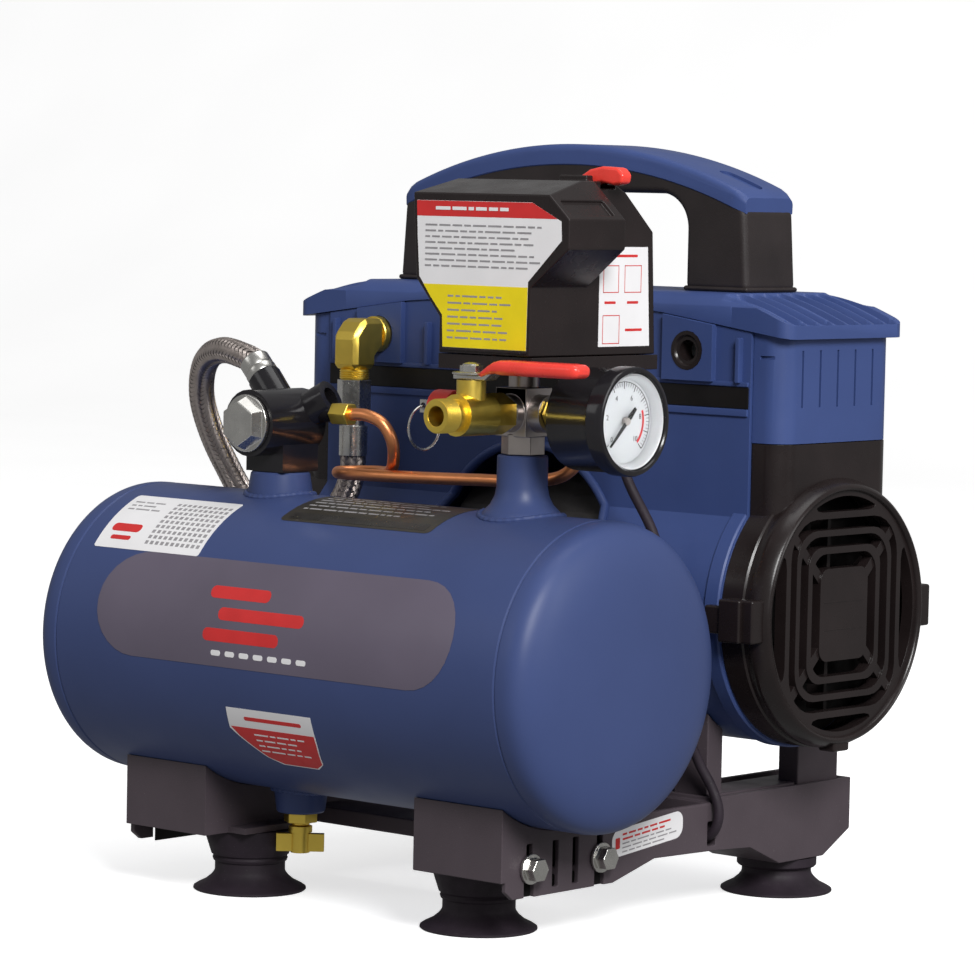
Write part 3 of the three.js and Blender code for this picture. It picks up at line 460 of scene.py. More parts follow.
finish("iron", (0.055, 0.052, 0.052), 0.55, 0.3, shade_by=0.15, patch=10, grain=0.7, relief=0.10)
finish("machined_steel", (0.52, 0.52, 0.53), 0.28, 1.0, patch=8, relief=0.02)
finish("alloy", (0.58, 0.59, 0.60), 0.42, 1.0, patch=10, grain=0.9, relief=0.08)
finish("panel_mauve", (0.120, 0.102, 0.140), 0.34, shade_by=0.10, patch=70, rough_by=0.05)
finish("print_white", (0.80, 0.79, 0.80), 0.40, shade_by=0.03, patch=20, rough_by=0.04)
finish("print_grey", (0.30, 0.29, 0.30), 0.45, shade_by=0.10, patch=8)
finish("print_dark", (0.030, 0.028, 0.026), 0.30, shade_by=0.20, patch=12)
finish("print_red", (0.60, 0.030, 0.030), 0.38, shade_by=0.06, patch=12)
finish("print_yellow", (0.84, 0.68, 0.01), 0.38, shade_by=0.05, patch=14)
finish("plate_olive", (0.036, 0.032, 0.026), 0.34, shade_by=0.15, patch=16, rough_by=0.03)
finish("deep_black", (0.006, 0.005, 0.005), 0.5, shade_by=0.3, patch=12, relief=0.03)
finish("hose_liner", (0.05, 0.045, 0.045), 0.6, shade_by=0.2, patch=5, relief=0.03)


def add_lens_look():
    look = Look("lens")
    look.shader.inputs["Base Color"].default_value = (0.97, 0.98, 0.98, 1)
    look.shader.inputs["Transmission Weight"].default_value = 1.0
    look.shader.inputs["IOR"].default_value = 1.12
    look.link(look.ranged(look.noise(8, 4), 0.3, 0.7, 0.02, 0.07), look.shader.inputs["Roughness"])
    LOOKS["lens"] = look.material


add_lens_look()


# ---------- tank ----------
def tank_profile():
    """(radius, along) from the left end to the right: domed caps, and a shallow seam at each weld."""
    seam = TANK_END - CAP_DEPTH
    cap = []
    steps = 32
    for i in range(steps + 1):
        angle = math.pi / 2 * i / steps
        cap.append((TANK_R * math.sin(angle) ** (2 / CAP_POWER),
                    seam + CAP_DEPTH * math.cos(angle) ** (2 / CAP_POWER)))
    groove = [(TANK_R - 0.05, seam - 0.6), (TANK_R - 0.55, seam - 1.4), (TANK_R - 0.05, seam - 2.2)]
    right = [*cap, *groove]
    left = [(r, -x) for r, x in right]
    return [*left, *reversed(right)]


def weld(x, radius, sign):
    """A rippled bead round a boss, on the top (sign 1) or the underside (sign -1) of the tank."""
    path, sizes = [], []
    steps = 120
    for i in range(steps):
        angle = 2 * math.pi * i / steps
        y = radius * math.sin(angle)
        path.append(Vector((x + radius * math.cos(angle), TANK_Y + y,
                            TANK_Z + sign * math.sqrt(TANK_R ** 2 - y * y))))
        sizes.append(1 + 0.14 * math.sin(angle * 30))
    return sweep(path, circle(1.5, 10), closed=True, sizes=sizes)


def build_tank():
    look = "tank_paint"
    top, bottom = TANK_Z + TANK_R, TANK_Z - TANK_R
    tank = make("tank", lathe(tank_profile(), (0, TANK_Y, TANK_Z), (1, 0, 0), 160), look)
    shade(tank, 20)                 # below the groove's angle, so that the barrel is shaded evenly
    stands_for(tank, "tank_shell")
    neck_top = tank_high.z
    neck = lathe([(0, top - 6), (20, top - 6), (18.6, top - 0.5), (16.8, top + 1.6), (14.4, top + 4),
                  (12.4, top + 8), (11.6, top + 12), (11.5, neck_top - 0.6), (10.9, neck_top),
                  (0, neck_top)], (NECK_X, TANK_Y, 0), (0, 0, 1), 72)
    check_top = extent("check_valve_body")[0].z - 0.3
    check = lathe([(0, top - 6), (15.6, top - 6), (15.5, top), (14.1, check_top - 0.8),
                   (13.4, check_top), (0, check_top)], (CHECK_X, TANK_Y, 0), (0, 0, 1), 72)
    drain = lathe([(0, bottom + 6), (13, bottom + 6), (12.8, bottom), (11.6, tank_low.z + 0.8),
                   (10.9, tank_low.z), (0, tank_low.z)], (DRAIN_X, TANK_Y, 0), (0, 0, 1), 72)
    for name, shape in (("tank_neck", neck), ("check_boss", check), ("drain_boss", drain)):
        goes_with(make(name, shape, look), "tank_shell")
    beads = (("neck_weld", NECK_X, 18.8, 1), ("check_weld", CHECK_X, 15.9, 1),
             ("drain_weld", DRAIN_X, 13.1, -1))
    for name, x, radius, sign in beads:
        goes_with(make(name, weld(x, radius, sign), look), "tank_shell")


# ---------- stickers, laid on a surface given by place(u, v, lift) ----------
def on_tank(u, v, lift):
    """u along X; v is the arc from the front of the tank upwards."""
    angle = v / TANK_R
    radius = TANK_R + lift
    return Vector((u, TANK_Y - radius * math.cos(angle), TANK_Z + radius * math.sin(angle)))


def ladder(rows, place, low, high, step=1.5):
    """A thin closed patch; rows are (v, left u, right u), filled in so that none are more than step apart."""
    fine = [rows[0]]
    for before, after in zip(rows, rows[1:]):
        count = max(1, math.ceil(abs(after[0] - before[0]) / step))
        fine += [[a + (b - a) * k / count for a, b in zip(before, after)] for k in range(1, count + 1)]
    return loft([[place(left, v, low), place(right, v, low), place(right, v, high), place(left, v, high)]
                 for v, left, right in fine])


def field(u0, u1, v0, v1, radius=0.0, fill=9):
    """Rows of a rectangle with round corners."""
    steps = 7
    rows = []
    for i in range(steps + 1):
        angle = math.pi / 2 * i / steps
        inset = radius * (1 - math.sin(angle))
        rows.append((v0 + radius * (1 - math.cos(angle)), u0 + inset, u1 - inset))
    middle = [(v0 + radius + (v1 - v0 - 2 * radius) * k / fill, u0, u1) for k in range(1, fill)]
    mirrored = [(v0 + v1 - v, left, right) for v, left, right in reversed(rows)]
    return rows + middle + mirrored if radius else [(v0, u0, u1), *middle, (v1, u0, u1)]


def print_lines(u0, u1, v_top, pitch, count, thick, seed):
    """Fields for rows of short bars that stand in for small print."""
    draw = random.Random(seed)
    bars = []
    for row in range(count):
        v = v_top - row * pitch
        u = u0
        end = u1 - draw.random() * 0.25 * (u1 - u0)
        while u < end - 3:
            length = min(draw.uniform(2.5, 9), end - u)
            bars.append(field(u, u + length, v - thick, v, fill=2))
            u += length + 1.3
    return bars


def sticker(name, node, place, layers):
    """layers: (look name, list of row lists); each is laid a little above the one before."""
    for level, (look, patches) in enumerate(layers):
        low = 0.02 + 0.05 * level
        shape = together(*[ladder(rows, place, low, low + 0.09) for rows in patches])
        goes_with(make(f"{name}_{level}", shape, look), node)


def arc_mm(degrees):
    return math.radians(degrees) * TANK_R


def build_tank_stickers():
    middle = arc_mm(16.5)
    sticker("front_panel", "tank_shell", on_tank, [
        ("panel_mauve", [field(-111.7, 111.7, middle - 25.5, middle + 25.5, 25, fill=24)]),
        ("print_red", [field(left, right, middle + foot, middle + foot + 6, 2.8)
                       for left, right, foot in ((-40, -2, 6), (-32, 22, -4), (-40, 8, -14))]),
        ("print_white", [field(u, u + 6, middle - 20.5, middle - 18, 1.1) for u in range(-34, 21, 9)]),
    ])
    low, high = arc_mm(37.4), arc_mm(68.7)
    code = [field(-96 + 3.4 * i, -94 + 3.4 * i, low + 4 + 3.4 * j, low + 6 + 3.4 * j, fill=2)
            for i in range(11) for j in range(9)]
    sticker("corner_sticker", "tank_shell", on_tank, [
        ("print_white", [field(-127.7, -57.8, low, high, 1.5)]),
        ("print_grey", code + print_lines(-124, -100, high - 6, 3, 3, 1.0, 3)),
        ("print_red", [field(-123, -104, low + 10, low + 15, 2.2),
                       field(-120, -107, low + 5, low + 7.5, 1.1)]),
    ])
    low, high = arc_mm(60.2), arc_mm(91.5)
    sticker("data_plate", "tank_shell", on_tank, [
        ("plate_olive", [field(-26, 67, low, high, 3)]),
        ("print_grey", print_lines(-21, 62, high - 4, 4.2, 6, 1.3, 5)),
        ("print_dark", [field(-22, 63, low + 2, low + 7.5, 1)]),
    ])
    top, waist, foot = arc_mm(-20), arc_mm(-29), arc_mm(-45.5)
    whole = [(foot, -6, 16), (foot + 4, -14, 21), (waist - 4, -26, 24), (waist, -29.5, 24.6),
             (top, -28, 25.4)]
    red = [(foot + 0.6, -5, 15.4), (foot + 4, -13, 20.4), (waist - 4, -25, 23.4), (waist + 1, -28.4, 24)]
    sticker("round_sticker", "tank_shell", on_tank, [
        ("print_white", [whole]),
        ("print_red", [red, field(-18, 18, top - 6, top - 4, 0.9)]),
        ("print_white", print_lines(-15, 20, waist - 2, 3.2, 4, 0.8, 8)),
    ])


# ---------- base: rails, feet, bolts and mounts ----------
def build_base():
    for name, side in SIDES:
        refined(f"side_rail_{name}", 1.0)
        for end in ("front", "rear"):
            refined(f"rail_bolt_{end}_{name}", 0.45)
            node = f"foot_{end}_{name}"
            low, high = extent(node)
            middle = (low + high) / 2
            height = high.z
            flare = [(0, 4.4), (12, 4.2), (21, 1.6), (24, 0.0), (26.4, 0.0), (27, 0.5), (26.9, 1.3),
                     (25.5, 2.2), (21.5, 4.2), (18.6, 6.6), (17.2, 8.4), (16.8, 9.6)]
            if end == "front":
                collar = [(16.8, 13.6), (17.6, 14.2), (18.0, 15.4), (17.5, 16.6), (18.6, 17.4), (21.6, 26.5),
                          (21.6, height), (0, height)]
            else:
                collar = [(16.8, 11.6), (18.6, 12.4), (19.3, 13.2), (19.3, height), (0, height)]
            foot = make(node + "_fine", lathe(flare + collar, (middle.x, middle.y, 0), (0, 0, 1), 80),
                        "rubber")
            stands_for(foot, node)
        refined(f"rubber_mount_{name}", 0.9)
        refined(f"motor_leg_{name}", 0.8)
        # A thin deep black sheet inside each rail: painted shade behind the rail's openings.
        inner, outer = span(side, 112, 112.8)
        shade_sheet = block(inner, outer, TANK_Y - 27, TANK_Y + 46, 21, 47)
        goes_with(make(f"slot_shade_sheet_{name}", shade_sheet, "deep_black", 0.2), f"side_rail_{name}")
    refined("cross_brace", 0.8)


def build_rail_sticker():
    face = extent("side_rail_right")[1].x

    def on_rail(u, v, lift):
        slope = 0.10
        return Vector((face + lift, TANK_Y + u, v + slope * (u - 37)))

    sticker("rail_sticker", "side_rail_right", on_rail, [
        ("print_white", [field(36.5, 88, 33.2, 45.8, 5)]),
        ("print_red", print_lines(44, 84, 43.4, 2.2, 2, 0.9, 4)),
        ("print_grey", print_lines(44, 84, 39, 1.9, 3, 0.6, 9)),
        ("print_red", [field(39, 42, 37, 42, 0.4)]),
    ])


# ---------- motor housing ----------
def front_y(z):
    """Front surface of the housing at a height."""
    drum = math.sqrt(max(DRUM_R ** 2 - (z - SHAFT_Z) ** 2, 0))
    return PUMP_Y - (max(drum, HOUSING_HALF_Y) if z > SHAFT_Z else drum)


def build_housing():
    refined("motor_housing", 0.9, 2)
    front = PUMP_Y - HOUSING_HALF_Y
    blue = "blue_plastic"
    band_end, band_low, band_high = 133, 237, 247
    band = block(-band_end, band_end, front - 0.5, front + 1, band_low, band_high)
    goes_with(make("front_band", band, "deep_black", 0.3), "motor_housing")
    ledges = [block(-band_end, band_end, front - 1.2, front + 1, low, high)
              for low, high in ((band_high + 0.2, band_high + 2.4), (band_low - 3.6, band_low - 0.2))]
    for _, side in SIDES:
        for x in (side * 66, side * 128):
            ledges.append(block(x - 1.2, x + 1.2, front - 3.4, front + 1, 249, 270))
    goes_with(make("front_ledges", together(*ledges), blue, 0.5), "motor_housing")
    window_z, lip_r = 158, 56.2
    path = [Vector((x, front_y(z) - 0.2, z)) for x, z in arc(0, window_z, lip_r, -20, 200, 96)]
    lip = make("window_lip", sweep(path, circle(2.2, 12)), blue)
    goes_with(lip, "motor_housing")
    for name, side in SIDES:
        centre = (side * HOUSING_X, PUMP_Y, SHAFT_Z)
        ring = lathe([(DRUM_R - 1, -9), (DRUM_R + 0.7, -9), (DRUM_R + 1.3, -8.2), (DRUM_R + 1.3, -1.2),
                      (DRUM_R + 0.6, -0.4), (DRUM_R - 1, -0.4)], centre, (side, 0, 0), 128, closed=True)
        rim = make(f"drum_rim_{name}", ring, blue)
        combine(rim, block(-170, 170, front + 3, 200, SHAFT_Z + 40, 300), "DIFFERENCE")
        shade(rim)
        goes_with(rim, "motor_housing")
    port = Vector((98, front - 3, 263))
    bush = lathe([(9.1, -0.2), (9.1, 10), (4.9, 10), (4.9, 0.9), (6.4, 0.8), (6.8, 0.3), (7.4, -0.2)],
                 port, (0, 1, 0), 48, True)
    goes_with(make("port_bush_right", bush, "black_gloss"), "motor_housing")


def build_ends():
    slots, pitch = 6, 13.6
    for name, side in SIDES:
        node = f"end_housing_{name}"
        low, high = extent(node)
        face = high.x if side > 0 else low.x
        cuts = []
        for k in range(slots):
            y = TANK_Y + 128 + pitch * k
            depth = 1.6 if k < slots - 1 else 4.2        # the last one is on the rounded rear corner
            inner, outer = sorted((face - side * depth, face + side * 0.5))
            cuts.append(block(inner, outer, y - 0.7, y + 0.7, 238, 264.6))
        inner, outer = span(side, 138, 153)
        front = PUMP_Y - END_HALF_Y
        cuts.append(block(inner, outer, front - 1, front + 1.2, 260.4, 262))
        refined(node, 0.5, cuts=cuts)


# ---------- fan covers ----------
GRILLE_REACH = 55.5
# half sizes (inner Y and Z, outer Y and Z) and inner corner radius of the slots in the grille
GRILLE_SLOTS = ((18.5, 21.8, 24.8, 28.8, 6), (28.1, 32, 34, 37, 10), (37, 40, 41.5, 45.2, 15))


def edge_slot(along_y, inner, half, sign):
    """A slot between the outermost bar and the rim, above, below or beside the middle."""
    bend = math.degrees(math.asin(half / GRILLE_REACH))
    rim = arc(0, 0, GRILLE_REACH, 90 - bend, 90 + bend, 16)
    low = inner + 0.35 * (rim[0][1] - inner)
    outline = [*rim, (-half * 0.96, low), (-half * 0.8, inner), (half * 0.8, inner), (half * 0.96, low)]
    return [(PUMP_Y + (a if along_y else b * sign), SHAFT_Z + (b * sign if along_y else a))
            for a, b in outline]


def build_grille(name, side, look):
    """A disc with rounded slots round a middle plate, and a spoke through each corner."""
    top, low = 157.6, 151.2
    spoke_start, spoke_length, spoke_half = 22, 35, 2.3
    centre = (0, PUMP_Y, SHAFT_Z)
    disc = make(f"fan_grille_{name}", lathe([(0, low), (57.9, low), (57.9, top), (0, top)], centre,
                                            (side, 0, 0), 96), look)
    ends = span(side, low - 1, top + 1)
    for inner_y, inner_z, outer_y, outer_z, radius in GRILLE_SLOTS:
        inner = rounded(PUMP_Y, SHAFT_Z, inner_y, inner_z, radius, 6)
        outer = rounded(PUMP_Y, SHAFT_Z, outer_y, outer_z, radius + 4, 6)
        combine(disc, ring_prism(outer, inner, "x", *ends), "DIFFERENCE")
    for sign in (-1, 1):
        for along_y, inner, half in ((True, 48.4, 23), (False, 44.8, 29)):
            combine(disc, prism(edge_slot(along_y, inner, half, sign), "x", *ends), "DIFFERENCE")
    for sign_y in (-1, 1):
        for sign_z in (-1, 1):
            along = Vector((0, sign_y * 0.71, sign_z * 0.70)).normalized()
            across = Vector((0, -along.z, along.y)) * spoke_half
            start = Vector(centre) + along * spoke_start
            end = start + along * spoke_length
            corners = [start - across, end - across, end + across, start + across]
            spoke = prism([(c.y, c.z) for c in corners], "x", *span(side, low, top - 1.0))
            combine(disc, spoke, "UNION")
    round_edges(disc, 0.7, 3, 30)
    return disc


def build_fan_cover(name, side):
    node = f"fan_cover_{name}"
    low, high = extent(node)
    look = "black_gloss"
    centre = (0, PUMP_Y, SHAFT_Z)
    inner_x = HOUSING_X + 0.3
    face_x = high.x if side > 0 else -low.x
    ring = lathe([
        (61, inner_x), (63.6, inner_x), (64, inner_x + 0.4), (64, 146.2), (63.2, 147), (63.2, 149.6),
        (63.7, 150.4), (63.5, 152.6), (62.4, 156), (61, 158.8), (60.2, 159.7), (59.4, face_x),
        (58.5, 159.6), (57.9, 158.6), (57.6, 157), (57.6, 151), (60.8, 149.6), (61, 149),
    ], centre, (side, 0, 0), 160, closed=True)
    cover = make(node + "_fine", ring, look)
    shade(cover, 38)
    stands_for(cover, node)
    goes_with(build_grille(name, side, look), node)
    # A deep black disc behind the fan: painted shade inside the cover, so the grille's gaps show dark.
    shade_disc = lathe([(8, inner_x + 0.3), (60, inner_x + 0.3), (60, inner_x + 1.1), (8, inner_x + 1.1)], centre,
                   (side, 0, 0), 96, closed=True)
    goes_with(make(f"fan_shade_disc_{name}", shade_disc, "deep_black"), node)
    corner, half = 11, END_HALF_Y
    plan = [(inner_x, -half), *arc(152 - corner, -half + corner, corner, -90, 0, 10),
            *arc(152 - corner, half - corner, corner, 0, 90, 10), (inner_x, half)]
    top = prism([(side * x, PUMP_Y + y) for x, y in plan], "z", 176, 221.1)
    hood = make(f"fan_hood_{name}", top, look)
    combine(hood, lathe([(0, 100), (63, 100), (63, 170), (0, 170)], centre, (side, 0, 0), 128), "DIFFERENCE")
    round_edges(hood, 0.9, 3, 35)
    goes_with(hood, node)
    clips = []
    for out in (-1, 1):
        for x0, x1, y0, y1, half_z in ((139, 151.5, 62, 72.3, 10), (148.6, 157.4, 60.6, 70, 10),
                                       (130, 140, 66, 71, 6.5)):
            ys = sorted((PUMP_Y + out * y0, PUMP_Y + out * y1))
            clips.append(block(*span(side, x0, x1), *ys, SHAFT_Z - half_z, SHAFT_Z + half_z))
    xs = span(side, 149, 158.6)
    clips.append(block(*xs, PUMP_Y - 6, PUMP_Y + 6, SHAFT_Z - 65, SHAFT_Z - 58))
    goes_with(make(f"fan_clips_{name}", together(*clips), look, 1.2, 3), node)
    ends = span(side, 157.2, 157.85)
    lines = [block(*ends, PUMP_Y - 15.5, PUMP_Y + 15.5, z - 0.3, z + 0.3) for z in (SHAFT_Z - 7, SHAFT_Z + 6)]
    goes_with(make(f"plate_lines_{name}", together(*lines), look, 0.15, 1), node)


# ---------- lid ----------
LID_PLATEAU = 114
LID_RIBS = 8
LID_BEND_X = 75
LID_EDGE_Z = (283.5, 281, 270)      # the lower edge in the middle, at LID_BEND_X and at the ends


def lid_low_edge(x):
    return float(np.interp(abs(x), (0, LID_BEND_X, lid_high.x), LID_EDGE_Z))


def lid_surface(x, y):
    """Height of the lid's top: a plateau, convex ribbed ends, and a slope along the front and back edge."""
    t = max(0.0, (abs(x) - LID_PLATEAU) / (lid_high.x - LID_PLATEAU))
    end_drop, flute_depth, slope_width = 13.5, 5.2, 10
    ridge = lid_high.z - end_drop * t ** 1.35
    half = (lid_high.y - lid_low.y) / 2
    inward = half - abs(y - PUMP_Y)
    if t > 0 and inward > 2.5:
        phase = (y - PUMP_Y + half - 5) / (2 * half - 10) * LID_RIBS
        from_crest = abs(phase - round(phase))
        flute = min(1.0, max(0.0, (from_crest - 0.05) / 0.14))
        reach = min(1.0, t * 7) * min(1.0, (1 - t) * 12) * min(1.0, (inward - 2.5) / 2.5)
        ridge -= flute_depth * reach * flute
    edge = max(min(284.0, ridge), lid_low_edge(x) + 3.6)
    edge = min(edge, ridge)
    s = min(1.0, inward / slope_width)
    return edge + (ridge - edge) * (s * (2 - s))


def lid_half_depth(x):
    """Half the lid's depth, less near its rounded upright corners."""
    corner = 7
    half = (lid_high.y - lid_low.y) / 2
    past = max(0.0, abs(x) - (lid_high.x - corner))
    return half - corner + math.sqrt(corner ** 2 - past ** 2)


def build_lid():
    end_steps, middle_steps, rows = 56, 16, 168
    ends = [LID_PLATEAU - 6 + (lid_high.x - LID_PLATEAU + 6) * i / end_steps for i in range(end_steps + 1)]
    middle = [-ends[0] + 2 * ends[0] * i / middle_steps for i in range(1, middle_steps)]
    xs = [-x for x in reversed(ends)] + middle + ends
    middle_y = (lid_low.y + lid_high.y) / 2
    columns = [[middle_y + lid_half_depth(x) * (2 * j / rows - 1) for j in range(rows + 1)] for x in xs]
    verts = [Vector((x, y, lid_surface(x, y))) for x, ys in zip(xs, columns) for y in ys]
    n = rows + 1
    faces = [[i * n + j, (i + 1) * n + j, (i + 1) * n + j + 1, i * n + j + 1]
             for i in range(len(xs) - 1) for j in range(rows)]
    base = len(verts)
    verts += [Vector((x, y, lid_low_edge(x))) for x, ys in zip(xs, columns) for y in (ys[0], ys[-1])]
    for i in range(len(xs) - 1):
        a, b = base + 2 * i, base + 2 * i + 2
        faces += [[a, b, (i + 1) * n, i * n], [a + 1, b + 1, (i + 1) * n + n - 1, i * n + n - 1],
                  [a, b, b + 1, a + 1]]
    for i in (0, len(xs) - 1):
        faces.append([base + 2 * i, *[i * n + j for j in range(n)], base + 2 * i + 1])
    lid = make("lid_fine", (verts, faces), "blue_plastic", 0.8, 2, 50)
    shade(lid, 48)
    stands_for(lid, "lid")


# ---------- handle ----------
def build_handle():
    low, high = extent("handle_grip")
    shell_low, shell_high = extent("handle_shell")
    front, rear = low.y, high.y
    leg_out, leg_in, foot = high.x, 73, low.z
    split_r, split_depth = 278, 10.5        # radius of the line under the shell, and its depth below the crest
    split = arc(0, shell_high.z - split_depth - split_r, split_r, 67.2, 112.8, 48)
    corner = 17
    gap = [(-leg_in, foot), *arc(-leg_in + corner, 319, corner, 180, 97, 14),
           *arc(leg_in - corner, 319, corner, 83, 0, 14), (leg_in, foot)]
    hidden = 3.4                    # how far the grip reaches up into the shell
    top = [(x, z + hidden) for x, z in split]
    shoulder_x, shoulder_z = leg_out - 2.4, split[0][1] - 1
    outline = [(-leg_out, foot), *gap, (leg_out, foot), (shoulder_x, shoulder_z), *top,
               (-shoulder_x, shoulder_z)]
    grip = make("handle_grip_fine", prism(outline, "y", front, rear), "black_matte", 3.4, 4, 32)
    stands_for(grip, "handle_grip")
    arc_r = 270
    half = (shell_high.y - shell_low.y) / 2
    sections = []
    steps = 60
    over = arc(0, shell_high.z - arc_r, arc_r, 66.4, 113.6, steps)
    split_top = split[len(split) // 2][1]
    under = arc(0, split_top + 0.3 - split_r, split_r, 67.2, 112.8, steps)
    for i, (crest, floor) in enumerate(zip(over, under)):
        inset = {0: 1.8, 1: 0.5}.get(min(i, steps - i), 0.0)
        crest, floor = Vector((crest[0], 0, crest[1])), Vector((floor[0], 0, floor[1]))
        rise = crest - floor
        height = rise.length - inset
        wide = half - inset
        edge = 3.6
        side_view = [(-wide + 0.5, 0), (wide - 0.5, 0), (wide, 0.5)]
        side_view += arc(wide - edge, height - edge, edge, 0, 84, 9)
        side_view += [(0, height)]
        side_view += arc(-wide + edge, height - edge, edge, 96, 180, 9) + [(-wide, 0.5)]
        sections.append([floor + rise.normalized() * h + Vector((0, PUMP_Y + y, 0)) for y, h in side_view])
    shell = make("handle_shell_fine", loft(sections), "blue_plastic")
    stands_for(shell, "handle_shell")
    recess_turn = 19.6              # degrees along the crest, from the middle
    for _, side in SIDES:
        angle = math.radians(90 - side * recess_turn)
        centre = Vector((arc_r * math.cos(angle), 0, shell_high.z - arc_r + arc_r * math.sin(angle)))
        along = Vector((math.sin(angle), 0, -math.cos(angle)))
        out = Vector((math.cos(angle), 0, math.sin(angle)))
        outline = rounded(0, 0, 12.5, 4.2, 4.1, 8)
        recess = [[centre + along * a + Vector((0, PUMP_Y + b, 0)) + out * depth for a, b in outline]
                  for depth in (-1.5, 2.0)]
        combine(shell, between(*recess), "DIFFERENCE")
    shade(shell, 35)
    pads = []
    for _, side in SIDES:
        x0, x1 = span(side, leg_in - 0.5, leg_out + 0.5)
        pads.append(block(x0, x1, front - 0.5, rear + 0.5, foot - 0.2, foot + 2.2))
    goes_with(make("handle_feet", together(*pads), "black_matte", 1.2, 3), "handle_grip")


# ---------- pressure switch ----------
def build_switch():
    front = extent("switch_cover")[0].y
    look = "black_gloss"
    slope, out = Vector((-0.740, 0.673)), Vector((0.673, 0.740))
    foot = Vector((140, 324))       # lower edge of the sloped face, in X and Z
    corners = [foot + slope * s + out * lift for s, lift in ((3, 2), (12.2, 2), (12.2, -1.4), (3, -1.4))]
    recess = prism([tuple(c) for c in corners], "y", front + 4.5, front + 33.5)
    refined("switch_cover", 1.3, 3, cuts=[recess])
    refined("switch_base", 1.0, 3)
    ledge = block(66, 117, front - 0.6, front + 0.6, 264.2, 265.4)
    goes_with(make("switch_ledge", ledge, look, 0.3), "switch_cover")

    def on_front(u, v, lift):
        return Vector((u, front - lift, v))

    # the label's left and right edge, as (height, X)
    left = [(331, 50.4), (323, 50.8), (315, 51.2), (297, 52.6), (288, 59.6), (280, 66.8), (265.6, 67.4)]
    right = [(331, 118.6), (323, 135.6), (314.6, 136), (296, 117), (265.6, 116.6)]

    def edge_at(edge, z):
        heights, places = zip(*reversed(edge))
        return float(np.interp(z, heights, places))

    def rows(bottom, top):
        heights = sorted({bottom, top, *[z for z, _ in left + right if bottom < z < top]})
        return [(z, edge_at(left, z), edge_at(right, z)) for z in heights]

    sticker("switch_label", "switch_cover", on_front, [
        ("print_white", [rows(265.6, 331)]),
        ("print_red", [rows(324, 330.9)]),
        ("print_yellow", [rows(265.7, 293.6)]),
        ("print_grey", [*print_lines(56, 128, 320.5, 2.6, 8, 0.75, 21),
                        *print_lines(70, 112, 289, 3.1, 7, 0.8, 22)]),
        ("print_white", print_lines(62, 118, 328.4, 3, 1, 1.5, 23)),
    ])
    side_x = NECK_X + 26.5

    def on_side(u, v, lift):
        return Vector((side_x + lift, TANK_Y + u, v))

    thin = 0.4
    marks = []
    for left, right, bottom, top in ((22, 33, 291, 303.4), (37, 49, 291, 303.4), (22, 34, 268, 281)):
        marks += [field(left, right, bottom, bottom + thin), field(left, right, top - thin, top),
                  field(left, left + thin, bottom, top), field(right - thin, right, bottom, top)]
    marks += [field(u0, u1, v, v + 1.2, 0.4)
              for u0, u1, v in ((23, 31, 286), (39, 47, 286), (38, 50, 273.6), (26, 46, 307))]
    sticker("side_label", "switch_cover", on_side, [
        ("print_white", [[(266.8, 19.3, 55.6), (281, 19.3, 54.8), (311.6, 19.3, 53.2)]]),
        ("print_red", marks),
    ])
    refined("switch_knob", 1.5, 4)


# ---------- gauge ----------
DIGITS = ("0", "2", "4", "6", "8", "10")


